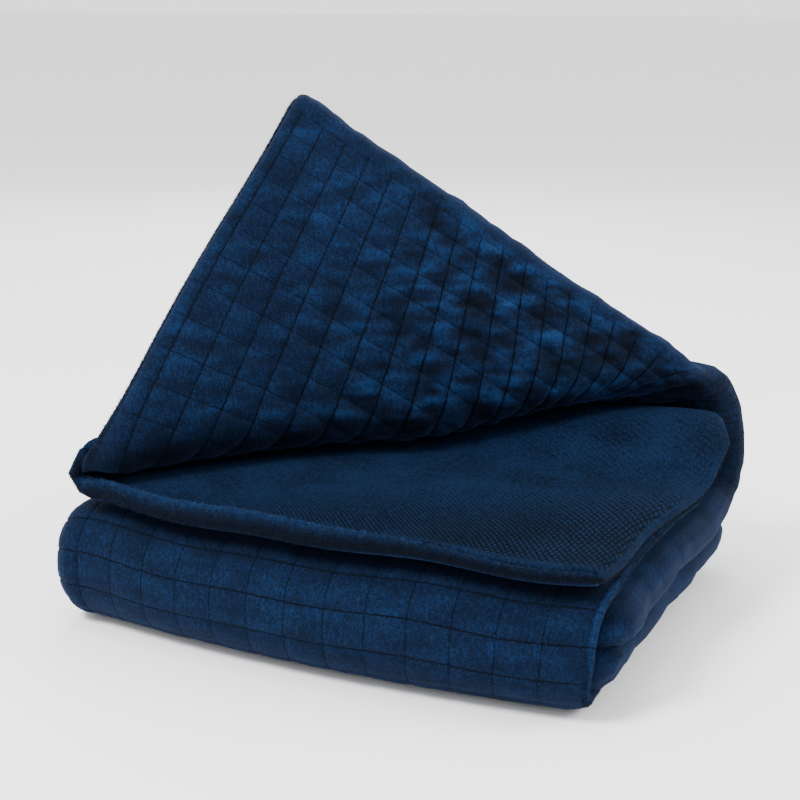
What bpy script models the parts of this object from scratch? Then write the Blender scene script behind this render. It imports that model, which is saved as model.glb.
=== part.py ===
"""Weighted blanket, folded, with the top corner turned back.

One filled, quilted textile of two faces: a plush quilted side and a plain knit side.
It is folded in thirds across its width, which gives a strip of three plies, and the strip
is folded twice along its length into three pages that lie on each other. On the top page
the upper two plies are lifted by their front right corner and stand over the page.

Width runs along X, the front fold faces -Y and Z is up. The origin is at the bottom centre
of the folded blanket. All sizes are in metres.
"""

import math

import bpy
import numpy as np

NODE = "weighted_blanket"

# The cloth.
PLY = 0.0141                 # thickness of the filled, quilted cloth
PLY_GAP = 0.0012             # air between two plies of one page
RIM = 0.010                  # distance over which the cloth thins towards an edge
RIM_THICKNESS = 0.75         # share of the thickness that is left at an edge
RIM_BULGE = 0.0030           # how far the middle of an edge stands proud of its two faces

# The strip of three plies, across its width: the outside of the left fold, the free hem of the
# outer third, which ends on the right, and the outside of the right fold.
WIDTHS = (
    # place,          left,   hem,    right
    ("page_1 back",   0.0060, 0.3880, 0.4190),
    ("page_1 front",  0.0010, 0.4070, 0.4250),
    ("front middle",  0.0010, 0.4170, 0.4310),
    ("page_2 front",  0.0010, 0.4190, 0.4360),
    ("page_2 back",   0.0190, 0.4130, 0.4280),
)

# The pages, along the length of the strip. The front fold's outside is at y = 0.
BACK_Y = 0.3600              # outside of the back fold
PAGE_3_FRONT = 0.0110        # front edge of the top page
PAGE_1_END = 0.3380          # back end of the bottom page
FRONT_BOW = 0.014            # how far the middle of the front fold stands before its ends
FOLD_CLEARANCE = 0.0006      # half the space left inside the front fold
FRONT_FOLD_POWER = 2.25      # 2 is a round front fold, more is a flatter one
BACK_FOLD_POWER = 2.9        # the same for the lower half of the back fold
LOOP_LEFT = 0.0070           # inner radius of the back fold at its left end
LOOP_RIGHT = 0.0170          # and at its right end
RISE_START = 0.195           # where the top page starts to rise towards the back fold
BOW_DEPTH = 0.2              # the front fold's bow has died out this far back

# The turned-back corner.
APEX = (0.1010, 0.2010, 0.3690)   # tip of the corner
BEND_LENGTH = 0.050          # half the length of cloth over which the corner bends up
EDGE_START = 0.10            # share of the front edge over which the corner starts to rise
LOFT = 0.0015                # more air under the upper plies, over the back fold and page 3
# Where the upper plies leave the top page: place across the strip, and distance from the
# front edge along the cloth.
LIFT_LINE = (
    # x,     distance
    (0.0276, 0.024),
    (0.100, 0.098),
    (0.180, 0.166),
    (0.255, 0.219),
    (0.330, 0.264),
    (0.430, 0.330),
)

SIDE_SAG = 0.007             # how far the corner's right edge hangs below a straight line
FRONT_SWELL = 0.005          # how far its front edge swells to the left of one

# Unevenness: waves that shift the cloth along X, and waves that lift it.
SWAYS = (
    # shift, turns in radians per metre of Y and of Z, start
    (0.0013, 31, 9, 0.0),
    (0.0008, 57, -23, 1.0),
)
HEAVES = (
    # lift, turns in radians per metre of X and of Y, start
    (0.0006, 26, 22, 0.7),
    (0.0006, 26, -22, 0.7),
    (0.0012, 47, -35, 0.0),
)
EVEN_BELOW = 0.006           # the cloth lies even up to this height
UNEVEN_ABOVE = 0.050         # and is fully uneven from this one

# Steps of the mesh.
THIRD_STEPS = 13             # across one third
FOLD_STEPS = 6               # round the left fold
NARROW_FOLD_STEPS = 4        # round the right fold
PAGE_STEPS = 8               # along page 1 and page 2
FRONT_STEPS = 10             # round the front fold
BACK_STEPS = 10              # round the back fold
TOP_STEPS = 15               # along page 3

HEM_STEPS = (0.012, 0.035, 0.08)   # first shares of the outer third, from its hem
LINE_POINTS = 4              # finer steps within each step, for the upper plies' lines
LIFT_POINTS = 90             # along each of the two parts of such a line
MEAN_POINTS = 41             # in a running mean
SOFTENING = 4                # passes of smoothing over the normals

LEFT_RADIUS = PLY + PLY_GAP                # middle line of the left fold
RIGHT_RADIUS = (PLY + PLY_GAP) / 2         # middle line of the right fold
FRONT_RADIUS = 3 * PLY + 2 * PLY_GAP + FOLD_CLEARANCE
SEAM_HEIGHT = 2 * PLY + 1.5 * PLY_GAP      # between the two upper plies, from the outer face
LEFT_REACH = LEFT_RADIUS + PLY / 2         # from the left fold's centre to its outside
RIGHT_REACH = RIGHT_RADIUS + PLY / 2
# The top page keeps one width.
LEFT_X = WIDTHS[-1][1] + LEFT_REACH
HEM_X = WIDTHS[-1][2]
RIGHT_X = WIDTHS[-1][3] - RIGHT_REACH


def ease(start, end, value):
    """Go smoothly from 0 at start to 1 at end."""
    share = np.clip((value - start) / (end - start), 0.0, 1.0)
    return share * share * (3 - 2 * share)


def unit(vectors):
    """Scale each vector to length 1."""
    return vectors / np.linalg.norm(vectors, axis=-1, keepdims=True)


def loop_radius(x):
    """Inner radius of the back fold at a place across the strip."""
    return LOOP_LEFT + (LOOP_RIGHT - LOOP_LEFT) * ease(LEFT_X, RIGHT_X, x)


def back_centre(x):
    """Centre of the back fold at x, in Y and Z."""
    radius = loop_radius(x)
    return BACK_Y - radius - 3 * PLY - 2 * PLY_GAP, 2 * FRONT_RADIUS + radius


def lower_stations():
    """Rows of (kind, share, left, hem, right) along page 1, the front fold and page 2."""
    rows = []
    for kind, steps, start, end in (
        ("page_1", PAGE_STEPS, 0, 1),
        ("front", FRONT_STEPS, 1, 3),
        ("page_2", PAGE_STEPS, 3, 4),
    ):
        for step in range(steps):
            share = step / steps
            place = start + (end - start) * share
            widths = [np.interp(place, range(len(WIDTHS)), [row[i] for row in WIDTHS])
                      for i in (1, 2, 3)]
            rows.append((kind, share, widths[0] + LEFT_REACH, widths[1], widths[2] - RIGHT_REACH))
    return rows


def lower_point(kind, share, x, height):
    """Y and Z of a point of page 1, the front fold or page 2, height above the outer face."""
    back = back_centre(x)[0]
    if kind == "page_1":
        return PAGE_1_END + (FRONT_RADIUS - PAGE_1_END) * share, height
    if kind == "page_2":
        return FRONT_RADIUS + (back - FRONT_RADIUS) * share, 2 * FRONT_RADIUS - height
    angle = math.pi * (share - 0.5)
    power = 2 / FRONT_FOLD_POWER
    scale = FRONT_RADIUS - height
    across = math.cos(angle) ** power if share > 0 else 0.0
    up = math.copysign(abs(math.sin(angle)) ** power, angle)
    return FRONT_RADIUS - scale * across, FRONT_RADIUS + scale * up


def upper_line(x, height, loft=0.0):
    """Y and Z along the back fold and page 3 at x, height and loft above the outer face."""
    centre_y, centre_z = back_centre(x)
    angles = np.linspace(-math.pi / 2, math.pi / 2, LINE_POINTS * BACK_STEPS + 1)
    radius = loop_radius(x) + height + loft * ease(-math.pi / 2, -math.pi / 6, angles)
    power = np.where(angles < 0, 2 / BACK_FOLD_POWER, 1.0)
    out = np.maximum(np.cos(angles), 0.0) ** power
    up = np.sign(angles) * np.abs(np.sin(angles)) ** power
    fold = np.stack([centre_y + radius * out, centre_z + radius * up], 1)
    y = np.linspace(centre_y, PAGE_3_FRONT, LINE_POINTS * TOP_STEPS + 1)[1:]
    low = 2 * FRONT_RADIUS + 2 * PLY_GAP
    high = centre_z + loop_radius(x)
    z = low + (high - low) * ease(RISE_START, centre_y, y)
    slope = np.gradient(z, y)
    normal = unit(np.stack([-slope, np.ones_like(slope)], 1))
    return fold, np.stack([y, z], 1) + normal * (height + loft)


def at_distances(line, distances):
    """Points of a line at distances along it; past its ends the line goes on straight."""
    steps = np.linalg.norm(np.diff(line, axis=0), axis=1)
    along = np.concatenate([[0.0], np.cumsum(steps)])
    points = np.stack([np.interp(distances, along, line[:, i]) for i in range(line.shape[1])], 1)
    before = np.minimum(distances, 0.0)[:, None] * unit(line[1] - line[0])
    after = np.maximum(distances - along[-1], 0.0)[:, None] * unit(line[-1] - line[-2])
    return points + before + after


def running_mean(line, distances):
    """Mean of a line's points over BEND_LENGTH either way of each distance."""
    offsets = np.linspace(-BEND_LENGTH, BEND_LENGTH, MEAN_POINTS)
    return sum(at_distances(line, distances + offset) for offset in offsets) / MEAN_POINTS


def line_length(line):
    """Length of a line of points."""
    return float(np.linalg.norm(np.diff(line, axis=0), axis=1).sum())


def outer_strip(x):
    """Back fold and page 3 of the outer third, at its middle line."""
    rows = np.vstack(upper_line(x, PLY / 2))[::LINE_POINTS]
    return np.column_stack([np.full(len(rows), x), rows])


def upper_strip(x, edge_start):
    """Back fold and page 3 between the two upper plies, with the corner turned back."""
    fold, page = upper_line(x, SEAM_HEIGHT, LOFT)
    flat = np.vstack([fold, page])
    flat = np.column_stack([np.full(len(flat), x), flat])
    places, distances = zip(*LIFT_LINE)
    leave = line_length(flat) - np.interp(x, places, distances)
    lying = at_distances(flat, np.linspace(0, leave, LIFT_POINTS))
    across = (x - LEFT_X) / (RIGHT_X - LEFT_X)
    share = (math.hypot(across, EDGE_START) - EDGE_START) / (math.hypot(1, EDGE_START) - EDGE_START)
    edge = edge_start + share * (np.array(APEX) - edge_start)
    edge[0] -= FRONT_SWELL * math.sin(math.pi * share)
    way = np.linspace(0, 1, LIFT_POINTS)[1:]
    standing = lying[-1] + way[:, None] * (edge - lying[-1])
    standing[:, 2] -= SIDE_SAG * across ** 2 * np.sin(math.pi * way)
    turned = np.vstack([lying, standing])
    turns = [line_length(fold[:i + 1]) for i in range(0, len(fold), LINE_POINTS)]
    top = np.linspace(turns[-1], line_length(turned), TOP_STEPS + 1)
    stations = np.concatenate([turns[:-1], top])
    # The bend is a running mean along the cloth, which leaves straight stretches as they are.
    # Where the cloth still lies, the mean's own error on a curve is put back.
    back = 1 - ease(leave, leave + BEND_LENGTH, stations)[:, None]
    error = at_distances(flat, stations) - running_mean(flat, stations)
    return running_mean(turned, stations) + back * error


def grid_normals(grid):
    """Unit normals of a grid of points, columns along the first axis and rows along Y's path."""
    across = np.gradient(grid, axis=0)
    along = np.gradient(grid, axis=1)
    return unit(np.cross(along, across))


def softened(normals):
    """Average each normal with its neighbours, so that a tight bend offsets evenly."""
    for _ in range(SOFTENING):
        for axis in (0, 1):
            moved = np.moveaxis(normals, axis, 0).copy()
            moved[1:-1] = (moved[:-2] + 2 * moved[1:-1] + moved[2:]) / 4
            normals = np.moveaxis(moved, 0, axis)
    return unit(normals)


def layer(shares, is_outer, height, upper):
    """Points and thickness directions of a layer, for shares of its way across the strip."""
    rows = lower_stations()
    lower = np.zeros((len(shares), len(rows), 3))
    thick = np.zeros_like(lower)
    for j, (kind, share, left, hem, right) in enumerate(rows):
        start, end = (hem, left) if is_outer else (left, right)
        for i, x in enumerate(start + (end - start) * shares):
            near = lower_point(kind, share, x, height - PLY / 2)
            far = lower_point(kind, share, x, height + PLY / 2)
            lower[i, j] = (x, (near[0] + far[0]) / 2, (near[1] + far[1]) / 2)
            thick[i, j] = (0, (far[0] - near[0]) / PLY, (far[1] - near[1]) / PLY)
    grid = np.concatenate([lower, upper], axis=1)
    normals = softened(grid_normals(grid))[:, len(rows):]
    if is_outer:  # its columns run the other way
        normals = -normals
    return grid, np.concatenate([thick, normals], axis=1)


def rim_factor(distance):
    """Share of the full thickness at a distance from an edge of the cloth."""
    share = np.clip(distance / RIM, 0.0, 1.0)
    return RIM_THICKNESS + (1 - RIM_THICKNESS) * np.sqrt(1 - (1 - share) ** 2)


def hem_shares():
    """Places across the outer third, closer together near its start, which is a hem."""
    even = np.linspace(HEM_STEPS[-1], 1.0, THIRD_STEPS - len(HEM_STEPS) + 1)
    return np.concatenate([[0.0], HEM_STEPS[:-1], even])


def fold_shares():
    """Places across the middle and the inner third."""
    return np.linspace(0.0, 1.0, THIRD_STEPS + 1)


def band():
    """Middle surface of the whole cloth, with the direction of its quilted side."""
    shares = hem_shares()
    strips = np.stack([outer_strip(x) for x in HEM_X + (LEFT_X - HEM_X) * shares])
    outer, outer_up = layer(shares, True, PLY / 2, strips)
    edge_start = np.array([LEFT_X, *upper_line(LEFT_X, SEAM_HEIGHT, LOFT)[1][-1]])
    shares = fold_shares()
    strips = np.stack([upper_strip(x, edge_start) for x in LEFT_X + (RIGHT_X - LEFT_X) * shares])
    seam, seam_up = layer(shares, False, SEAM_HEIGHT, strips)
    middle = seam + seam_up * RIGHT_RADIUS
    inner = seam - seam_up * RIGHT_RADIUS

    points = list(outer)
    sides = list(-outer_up)
    # Left fold, from the outer third to the middle one.
    centre = (outer[-1] + middle[0]) / 2
    reach = outer[-1] - centre
    radius = np.linalg.norm(reach, axis=-1, keepdims=True)
    out = np.array([-1.0, 0.0, 0.0])
    for step in range(1, FOLD_STEPS):
        angle = math.pi * step / FOLD_STEPS
        way = math.cos(angle) * reach / radius + math.sin(angle) * out
        points.append(centre + way * radius)
        sides.append(unit(way))
    points += list(middle)
    sides += list(seam_up)
    # Right fold, from the middle third to the inner one.
    out = unit(seam[-1] - seam[-2])
    for step in range(1, NARROW_FOLD_STEPS):
        angle = math.pi * step / NARROW_FOLD_STEPS
        way = math.cos(angle) * seam_up[-1] + math.sin(angle) * out
        points.append(seam[-1] + way * RIGHT_RADIUS)
        sides.append(way)
    points += list(inner[::-1])
    sides += list(-seam_up[::-1])
    return np.stack(points), np.stack(sides)


def edge_distances(points):
    """Distance of each point to the nearest edge of the cloth, along the grid lines."""
    across = np.concatenate([
        np.zeros((1, points.shape[1])),
        np.cumsum(np.linalg.norm(np.diff(points, axis=0), axis=-1), axis=0),
    ])
    along = np.concatenate([
        np.zeros((points.shape[0], 1)),
        np.cumsum(np.linalg.norm(np.diff(points, axis=1), axis=-1), axis=1),
    ], axis=1)
    return np.minimum.reduce([across, across[-1:] - across, along, along[:, -1:] - along])


def uneven(points):
    """Bow the front fold, and let the cloth wander a little, but not where it lies."""
    x, y, z = points[..., 0], points[..., 1], points[..., 2]
    free = ease(EVEN_BELOW, UNEVEN_ABOVE, z)
    moved = points.copy()
    across = (2 * x - LEFT_X - RIGHT_X) / (RIGHT_X - LEFT_X)
    moved[..., 1] -= FRONT_BOW * np.clip(1 - across ** 2, 0, 1) * (1 - ease(0.0, BOW_DEPTH, y))
    for shift, per_y, per_z, start in SWAYS:
        moved[..., 0] += shift * free * np.sin(y * per_y + z * per_z + start)
    for lift, per_x, per_y, start in HEAVES:
        moved[..., 2] += lift * free * np.sin(x * per_x + y * per_y + start)
    return moved


def closed_mesh(points, sides):
    """Vertices and faces of the closed cloth: quilted side, knit side and their rims."""
    count, rows = points.shape[:2]
    half = PLY / 2 * rim_factor(edge_distances(points))[..., None]
    quilted = uneven(points + sides * half)
    knit = uneven(points - sides * half)
    vertices = np.concatenate([quilted.reshape(-1, 3), knit.reshape(-1, 3)]).tolist()
    knit_start = count * rows
    middle_start = len(hem_shares()) + FOLD_STEPS - 1
    middle_end = middle_start + len(fold_shares()) - 1

    def index(i, j, side):
        return side * knit_start + i * rows + j

    faces = []
    for i in range(count - 1):
        # Plies that lie on each other are split along the same diagonals, so they don't cross.
        turned = middle_start <= i < middle_end
        for j in range(rows - 1):
            square = [index(i, j, 0), index(i, j + 1, 0), index(i + 1, j + 1, 0), index(i + 1, j, 0)]
            if turned:
                square = square[1:] + square[:1]
            for corners in (square[:3], [square[0], *square[2:]]):
                faces.append(corners)
                faces.append([knit_start + k for k in reversed(corners)])
    ring = [(i, 0) for i in range(count - 1)]
    ring += [(count - 1, j) for j in range(rows - 1)]
    ring += [(i, rows - 1) for i in range(count - 1, 0, -1)]
    ring += [(0, j) for j in range(rows - 1, 0, -1)]
    rim_start = len(vertices)
    for i, j in ring:
        away = np.zeros(3)
        if i in (0, count - 1):
            away += unit(points[i, j] - points[1 if i == 0 else count - 2, j])
        if j in (0, rows - 1):
            away += unit(points[i, j] - points[i, 1 if j == 0 else rows - 2])
        vertices.append(((quilted[i, j] + knit[i, j]) / 2 + unit(away) * RIM_BULGE).tolist())
    for k, (i, j) in enumerate(ring):
        m = (k + 1) % len(ring)
        other_i, other_j = ring[m]
        faces.append([index(i, j, 0), index(other_i, other_j, 0), rim_start + m, rim_start + k])
        faces.append([index(i, j, 1), rim_start + k, rim_start + m, index(other_i, other_j, 1)])
    return np.array(vertices), faces


def on_the_floor(vertices):
    """Put the origin at the bottom centre."""
    low = vertices.min(axis=0)
    high = vertices.max(axis=0)
    return vertices - np.array([(low[0] + high[0]) / 2, (low[1] + high[1]) / 2, low[2]])


def plush():
    """Deep navy plush."""
    material = bpy.data.materials.new("navy_plush")
    material.use_nodes = True
    shader = material.node_tree.nodes["Principled BSDF"]
    shader.inputs["Base Color"].default_value = (0.006, 0.024, 0.075, 1.0)
    shader.inputs["Roughness"].default_value = 0.85
    shader.inputs["Metallic"].default_value = 0.0
    return material


def main():
    """Build the blanket."""
    for item in list(bpy.data.objects):
        bpy.data.objects.remove(item, do_unlink=True)
    vertices, faces = closed_mesh(*band())
    mesh = bpy.data.meshes.new(NODE)
    mesh.from_pydata(on_the_floor(vertices).tolist(), [], faces)
    mesh.materials.append(plush())
    mesh.shade_smooth()
    blanket = bpy.data.objects.new(NODE, mesh)
    bpy.context.scene.collection.objects.link(blanket)


main()
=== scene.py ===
"""The looks of a folded weighted blanket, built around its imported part.

The blanket is one filled, quilted cloth of two faces: short plush with sewn channels, and a plain
knit. It is folded in thirds across its width and in three pages along its length, and the upper
two plies of the top page are turned back by their front right corner. All sizes are in metres.
"""

from __future__ import annotations

import logging
import math
from dataclasses import dataclass, field
from enum import Enum
from typing import Any, Callable, Iterable

import bpy
import numpy as np
from mathutils import Matrix, Vector

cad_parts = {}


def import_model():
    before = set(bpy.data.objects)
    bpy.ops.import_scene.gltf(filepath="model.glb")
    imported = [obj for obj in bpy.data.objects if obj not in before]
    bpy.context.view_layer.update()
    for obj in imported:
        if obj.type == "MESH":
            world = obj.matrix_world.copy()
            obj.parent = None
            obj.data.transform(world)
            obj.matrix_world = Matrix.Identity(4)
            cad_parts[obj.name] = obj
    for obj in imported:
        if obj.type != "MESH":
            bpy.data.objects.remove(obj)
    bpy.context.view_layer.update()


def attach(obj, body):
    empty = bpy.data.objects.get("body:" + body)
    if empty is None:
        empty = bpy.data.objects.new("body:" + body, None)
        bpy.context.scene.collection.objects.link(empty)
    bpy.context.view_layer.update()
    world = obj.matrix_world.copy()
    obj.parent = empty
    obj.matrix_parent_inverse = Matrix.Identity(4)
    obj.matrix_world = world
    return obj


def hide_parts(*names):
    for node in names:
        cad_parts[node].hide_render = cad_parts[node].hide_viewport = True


LOG = logging.getLogger("blanket")
Array = np.ndarray
Tree = bpy.types.NodeTree
Node = bpy.types.Node
Socket = bpy.types.NodeSocket
Object = bpy.types.Object
Mesh = bpy.types.Mesh
Triple = tuple[float, float, float]
Tones = tuple[tuple[float, str], ...]                       # places and colours on a ramp
Waves = tuple[tuple[float, float, float, float], ...]       # rows as the function waves takes them
NODE = "weighted_blanket"
BODY = "root"


# ---------------------------------------------------------------------------------------------
# Helpers
# ---------------------------------------------------------------------------------------------


def linear(hex_colour: str) -> tuple[float, float, float, float]:
    """Turn an sRGB hex colour into linear RGB with alpha 1.

    Args:
        hex_colour: six hex digits with a leading #.

    Returns:
        The linear colour.
    """
    parts = [int(hex_colour[i:i + 2], 16) / 255 for i in (1, 3, 5)]
    turned = [c / 12.92 if c <= 0.04045 else ((c + 0.055) / 1.055) ** 2.4 for c in parts]
    return (*turned, 1.0)


def add(tree: Tree, kind: str, inputs: dict[Any, Any] | Iterable[Any] = (), stops: Tones = (),
        **settings: Any) -> Node:
    """Add a node with its settings and its inputs.

    Args:
        tree: the node tree.
        kind: the node's type name.
        inputs: what feeds each input, by its name or index, or for the first ones in order: an
            output socket, a node, whose first output is taken, or a value.
        stops: a colour ramp's places and colours.
        settings: the node's own settings.

    Returns:
        The new node.
    """
    node = tree.nodes.new(kind)
    for name, value in settings.items():
        setattr(node, name, value)
    named = inputs if isinstance(inputs, dict) else dict(enumerate(inputs))
    for key, value in named.items():
        value = value.outputs[0] if isinstance(value, Node) else value
        if isinstance(value, Socket):
            tree.links.new(value, node.inputs[key])
        else:
            node.inputs[key].default_value = value
    if stops:
        ramp = node.color_ramp.elements
        ramp[0].position, ramp[-1].position = stops[0][0], stops[-1][0]
        for place, _ in stops[1:-1]:
            ramp.new(place)
        for element, (_, colour) in zip(ramp, stops):
            element.color = linear(colour)
    return node


def put(name: str, data: Any) -> Object:
    """Make an object of a mesh, a light or a camera, in the scene."""
    made = bpy.data.objects.new(name, data)
    bpy.context.scene.collection.objects.link(made)
    return made


def store(mesh: Mesh, name: str, values: Array) -> None:
    """Store a number or a vector at each point of a mesh, as a named attribute."""
    kind, slot = ("FLOAT", "value") if values.ndim == 1 else ("FLOAT_VECTOR", "vector")
    mesh.attributes.new(name, kind, "POINT").data.foreach_set(
        slot, values.astype(np.float32).ravel())


def ease(start: float, end: float, value: Array | float) -> Array | float:
    """Go smoothly from 0 at start to 1 at end.

    Args:
        start: where the step begins.
        end: where it ends.
        value: the places to read it at.

    Returns:
        The step at those places.
    """
    share = np.clip((value - start) / (end - start), 0.0, 1.0)
    return share * share * (3 - 2 * share)


def unit(vectors: Array) -> Array:
    """Scale each vector to length 1."""
    return vectors / np.linalg.norm(vectors, axis=-1, keepdims=True)


def lengths(line: Array) -> Array:
    """Distance of each point of a line from its first one, along the line."""
    steps = np.linalg.norm(np.diff(line, axis=0), axis=1)
    return np.concatenate([[0.0], np.cumsum(steps)])


def at_distances(line: Array, distances: Array) -> Array:
    """Points of a line at distances along it; past its ends the line goes on straight.

    Args:
        line: points, one a row.
        distances: distances from its first point.

    Returns:
        A point for each distance.
    """
    along = lengths(line)
    points = np.stack([np.interp(distances, along, line[:, i]) for i in range(line.shape[1])], 1)
    before = np.minimum(distances, 0.0)[:, None] * unit(line[1] - line[0])
    after = np.maximum(distances - along[-1], 0.0)[:, None] * unit(line[-1] - line[-2])
    return points + before + after


def waves(x: Array, y: Array, table: Waves) -> Array:
    """Sum of plain waves.

    Args:
        x: first coordinate of each place.
        y: second coordinate of each place.
        table: rows of height, turns in radians per unit of x and of y, and start.

    Returns:
        The sum at each place.
    """
    return sum(height * np.sin(x * per_x + y * per_y + start)
               for height, per_x, per_y, start in table)


# ---------------------------------------------------------------------------------------------
# How the cloth is folded
# ---------------------------------------------------------------------------------------------


class Third(Enum):
    """Zones across the cloth, in order."""

    OUTER = "outer"
    LEFT_FOLD = "left_fold"
    MIDDLE = "middle"
    RIGHT_FOLD = "right_fold"
    INNER = "inner"


class Page(Enum):
    """Zones along the cloth, in order."""

    BOTTOM = "bottom"
    FRONT_FOLD = "front_fold"
    CENTRE = "centre"
    BACK_FOLD = "back_fold"
    TOP = "top"


@dataclass(frozen=True)
class Run:
    """The zones along one direction of the cloth, with the steps that its grid takes in each."""

    zones: tuple[tuple[Enum, int], ...]

    def start(self, zone: Enum) -> int:
        """Find where a zone starts.

        Args:
            zone: which one.

        Returns:
            Its first grid place.
        """
        total = 0
        for other, steps in self.zones:
            if other is zone:
                return total
            total += steps
        raise KeyError(zone)

    def steps(self, zone: Enum) -> int:
        """Number of grid steps in a zone."""
        return dict(self.zones)[zone]

    def place(self, zone: Enum, share: Array | float) -> Array | float:
        """Grid place at a share of a zone."""
        return self.start(zone) + self.steps(zone) * share

    def end(self) -> int:
        """The last grid place."""
        return sum(steps for _, steps in self.zones)

    def past(self, zone: Enum, before: float, after: float, places: Array) -> Array:
        """Step from 0 to 1 near a zone's start, between two distances from it in grid steps."""
        return ease(self.start(zone) + before, self.start(zone) + after, places)

    def within(self, zone: Enum, places: Array, soft: float) -> Array:
        """1 inside a zone and 0 outside it, with a soft step at its ends.

        Args:
            zone: which one.
            places: grid places.
            soft: half the step's length.

        Returns:
            The share at each place.
        """
        end = self.start(zone) + self.steps(zone)
        return self.past(zone, -soft, soft, places) * (1 - ease(end - soft, end + soft, places))


@dataclass
class Folding:
    """The folded cloth's middle surface, as a grid, with the direction of its quilted face."""

    ply: float = 0.0141               # thickness of the cloth
    gap: float = 0.0012               # air between two plies of a page
    clearance: float = 0.0006         # half the space left inside the front fold
    # Outside of the left fold, free hem of the outer third, outside of the right fold.
    widths: tuple[Triple, ...] = (
        (0.0060, 0.3880, 0.4190),     # back of the bottom page
        (0.0010, 0.4070, 0.4250),     # its front
        (0.0010, 0.4170, 0.4310),     # middle of the front fold
        (0.0010, 0.4190, 0.4360),     # front of the centre page
        (0.0190, 0.4130, 0.4280),     # its back; the top page keeps this width
    )
    back_y: float = 0.3600            # outside of the back fold
    top_front: float = 0.0110         # front edge of the top page
    bottom_end: float = 0.3380        # back end of the bottom page
    front_bow: float = 0.014          # how far the front fold's middle stands before its ends
    bow_depth: float = 0.2            # the bow has died out this far back
    front_power: float = 2.25         # 2 is a round front fold, more is a flatter one
    back_power: float = 2.9           # the same for the lower half of the back fold
    loop_left: float = 0.0070         # inner radius of the back fold at its left end
    loop_right: float = 0.0170        # and at its right end
    rise_start: float = 0.195         # where the top page starts to rise towards the back fold
    apex: Triple = (0.1010, 0.2010, 0.3690)
    bend: float = 0.050               # half the length of cloth over which the corner bends up
    edge_start: float = 0.10          # share of the front edge where the corner starts to rise
    loft: float = 0.0015              # more air under the upper plies of the top page
    side_sag: float = 0.007           # how far the corner's right edge hangs below a straight line
    front_swell: float = 0.005        # how far its front edge swells to the left of one
    # Where the upper plies leave the top page: place across, and distance from the front edge.
    lift_line: tuple[tuple[float, float], ...] = (
        (0.0276, 0.024), (0.100, 0.098), (0.180, 0.166),
        (0.255, 0.219), (0.330, 0.264), (0.430, 0.330),
    )
    sways: Waves = (
        (0.0013, 31, 9, 0.0), (0.0008, 57, -23, 1.0),
    )
    heaves: Waves = (
        (0.0006, 26, 22, 0.7), (0.0006, 26, -22, 0.7), (0.0012, 47, -35, 0.0),
    )
    # Slack of the standing corner: puckers between its crease and its free edges.
    slack: Waves = (
        (0.0016, 19, 11, 0.4), (0.0011, 34, -17, 2.1), (0.0008, 9, 41, 1.2),
    )
    slack_way: Triple = (-0.55, 0.65, 0.35)              # the way that the puckers stand out
    slack_from: tuple[float, float] = (0.02, 0.10)      # lift over which they come in
    even_below: float = 0.006         # the cloth lies even up to this height
    uneven_above: float = 0.050       # and is fully uneven from this one
    underside: float = 0.0003         # lowest height, just over the surface that it rests on
    middle: Triple = (0.2196, 0.1738, 0.0)   # this grid's place of the origin
    smoothing: int = 40               # passes of smoothing over the upper plies' normals
    mean_points: int = 31             # in a running mean
    line_points: int = 2              # finer steps within each grid step, for the upper plies
    part_points: int = 160            # on the lying and on the standing part of an upper ply
    across: Run = Run(((Third.OUTER, 64), (Third.LEFT_FOLD, 10), (Third.MIDDLE, 64),
                       (Third.RIGHT_FOLD, 8), (Third.INNER, 64)))
    along: Run = Run(((Page.BOTTOM, 44), (Page.FRONT_FOLD, 30), (Page.CENTRE, 40),
                      (Page.BACK_FOLD, 30), (Page.TOP, 66)))

    def __post_init__(self) -> None:
        """Work out the folds' radii and the top page's width."""
        self.left_radius = self.ply + self.gap
        self.right_radius = (self.ply + self.gap) / 2
        self.front_radius = 3 * self.ply + 2 * self.gap + self.clearance
        self.seam = 2 * self.ply + 1.5 * self.gap
        self.left_reach = self.left_radius + self.ply / 2
        self.right_reach = self.right_radius + self.ply / 2
        left, self.hem_x, right = self.widths[-1]
        self.left_x, self.right_x = left + self.left_reach, right - self.right_reach

    def loop(self, x: float) -> float:
        """Inner radius of the back fold at x."""
        share = ease(self.left_x, self.right_x, x)
        return self.loop_left + (self.loop_right - self.loop_left) * share

    def fold_start(self, loop: float) -> float:
        """Where the centre page ends and the back fold starts, from the fold's inner radius."""
        return self.back_y - loop - 3 * self.ply - 2 * self.gap

    def lower_rows(self) -> list[tuple[Page, float, float, float, float]]:
        """Lay out the rows up to the end of the centre page.

        Returns:
            Rows of page, share of the page, left fold, hem and right fold.
        """
        rows = []
        for page, start, end in ((Page.BOTTOM, 0, 1), (Page.FRONT_FOLD, 1, 3), (Page.CENTRE, 3, 4)):
            steps = self.along.steps(page)
            for step in range(steps):
                share = step / steps
                place = start + (end - start) * share
                left, hem, right = (np.interp(place, range(len(self.widths)),
                                              [row[i] for row in self.widths]) for i in range(3))
                rows.append((page, share, left + self.left_reach, hem, right - self.right_reach))
        return rows

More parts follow.
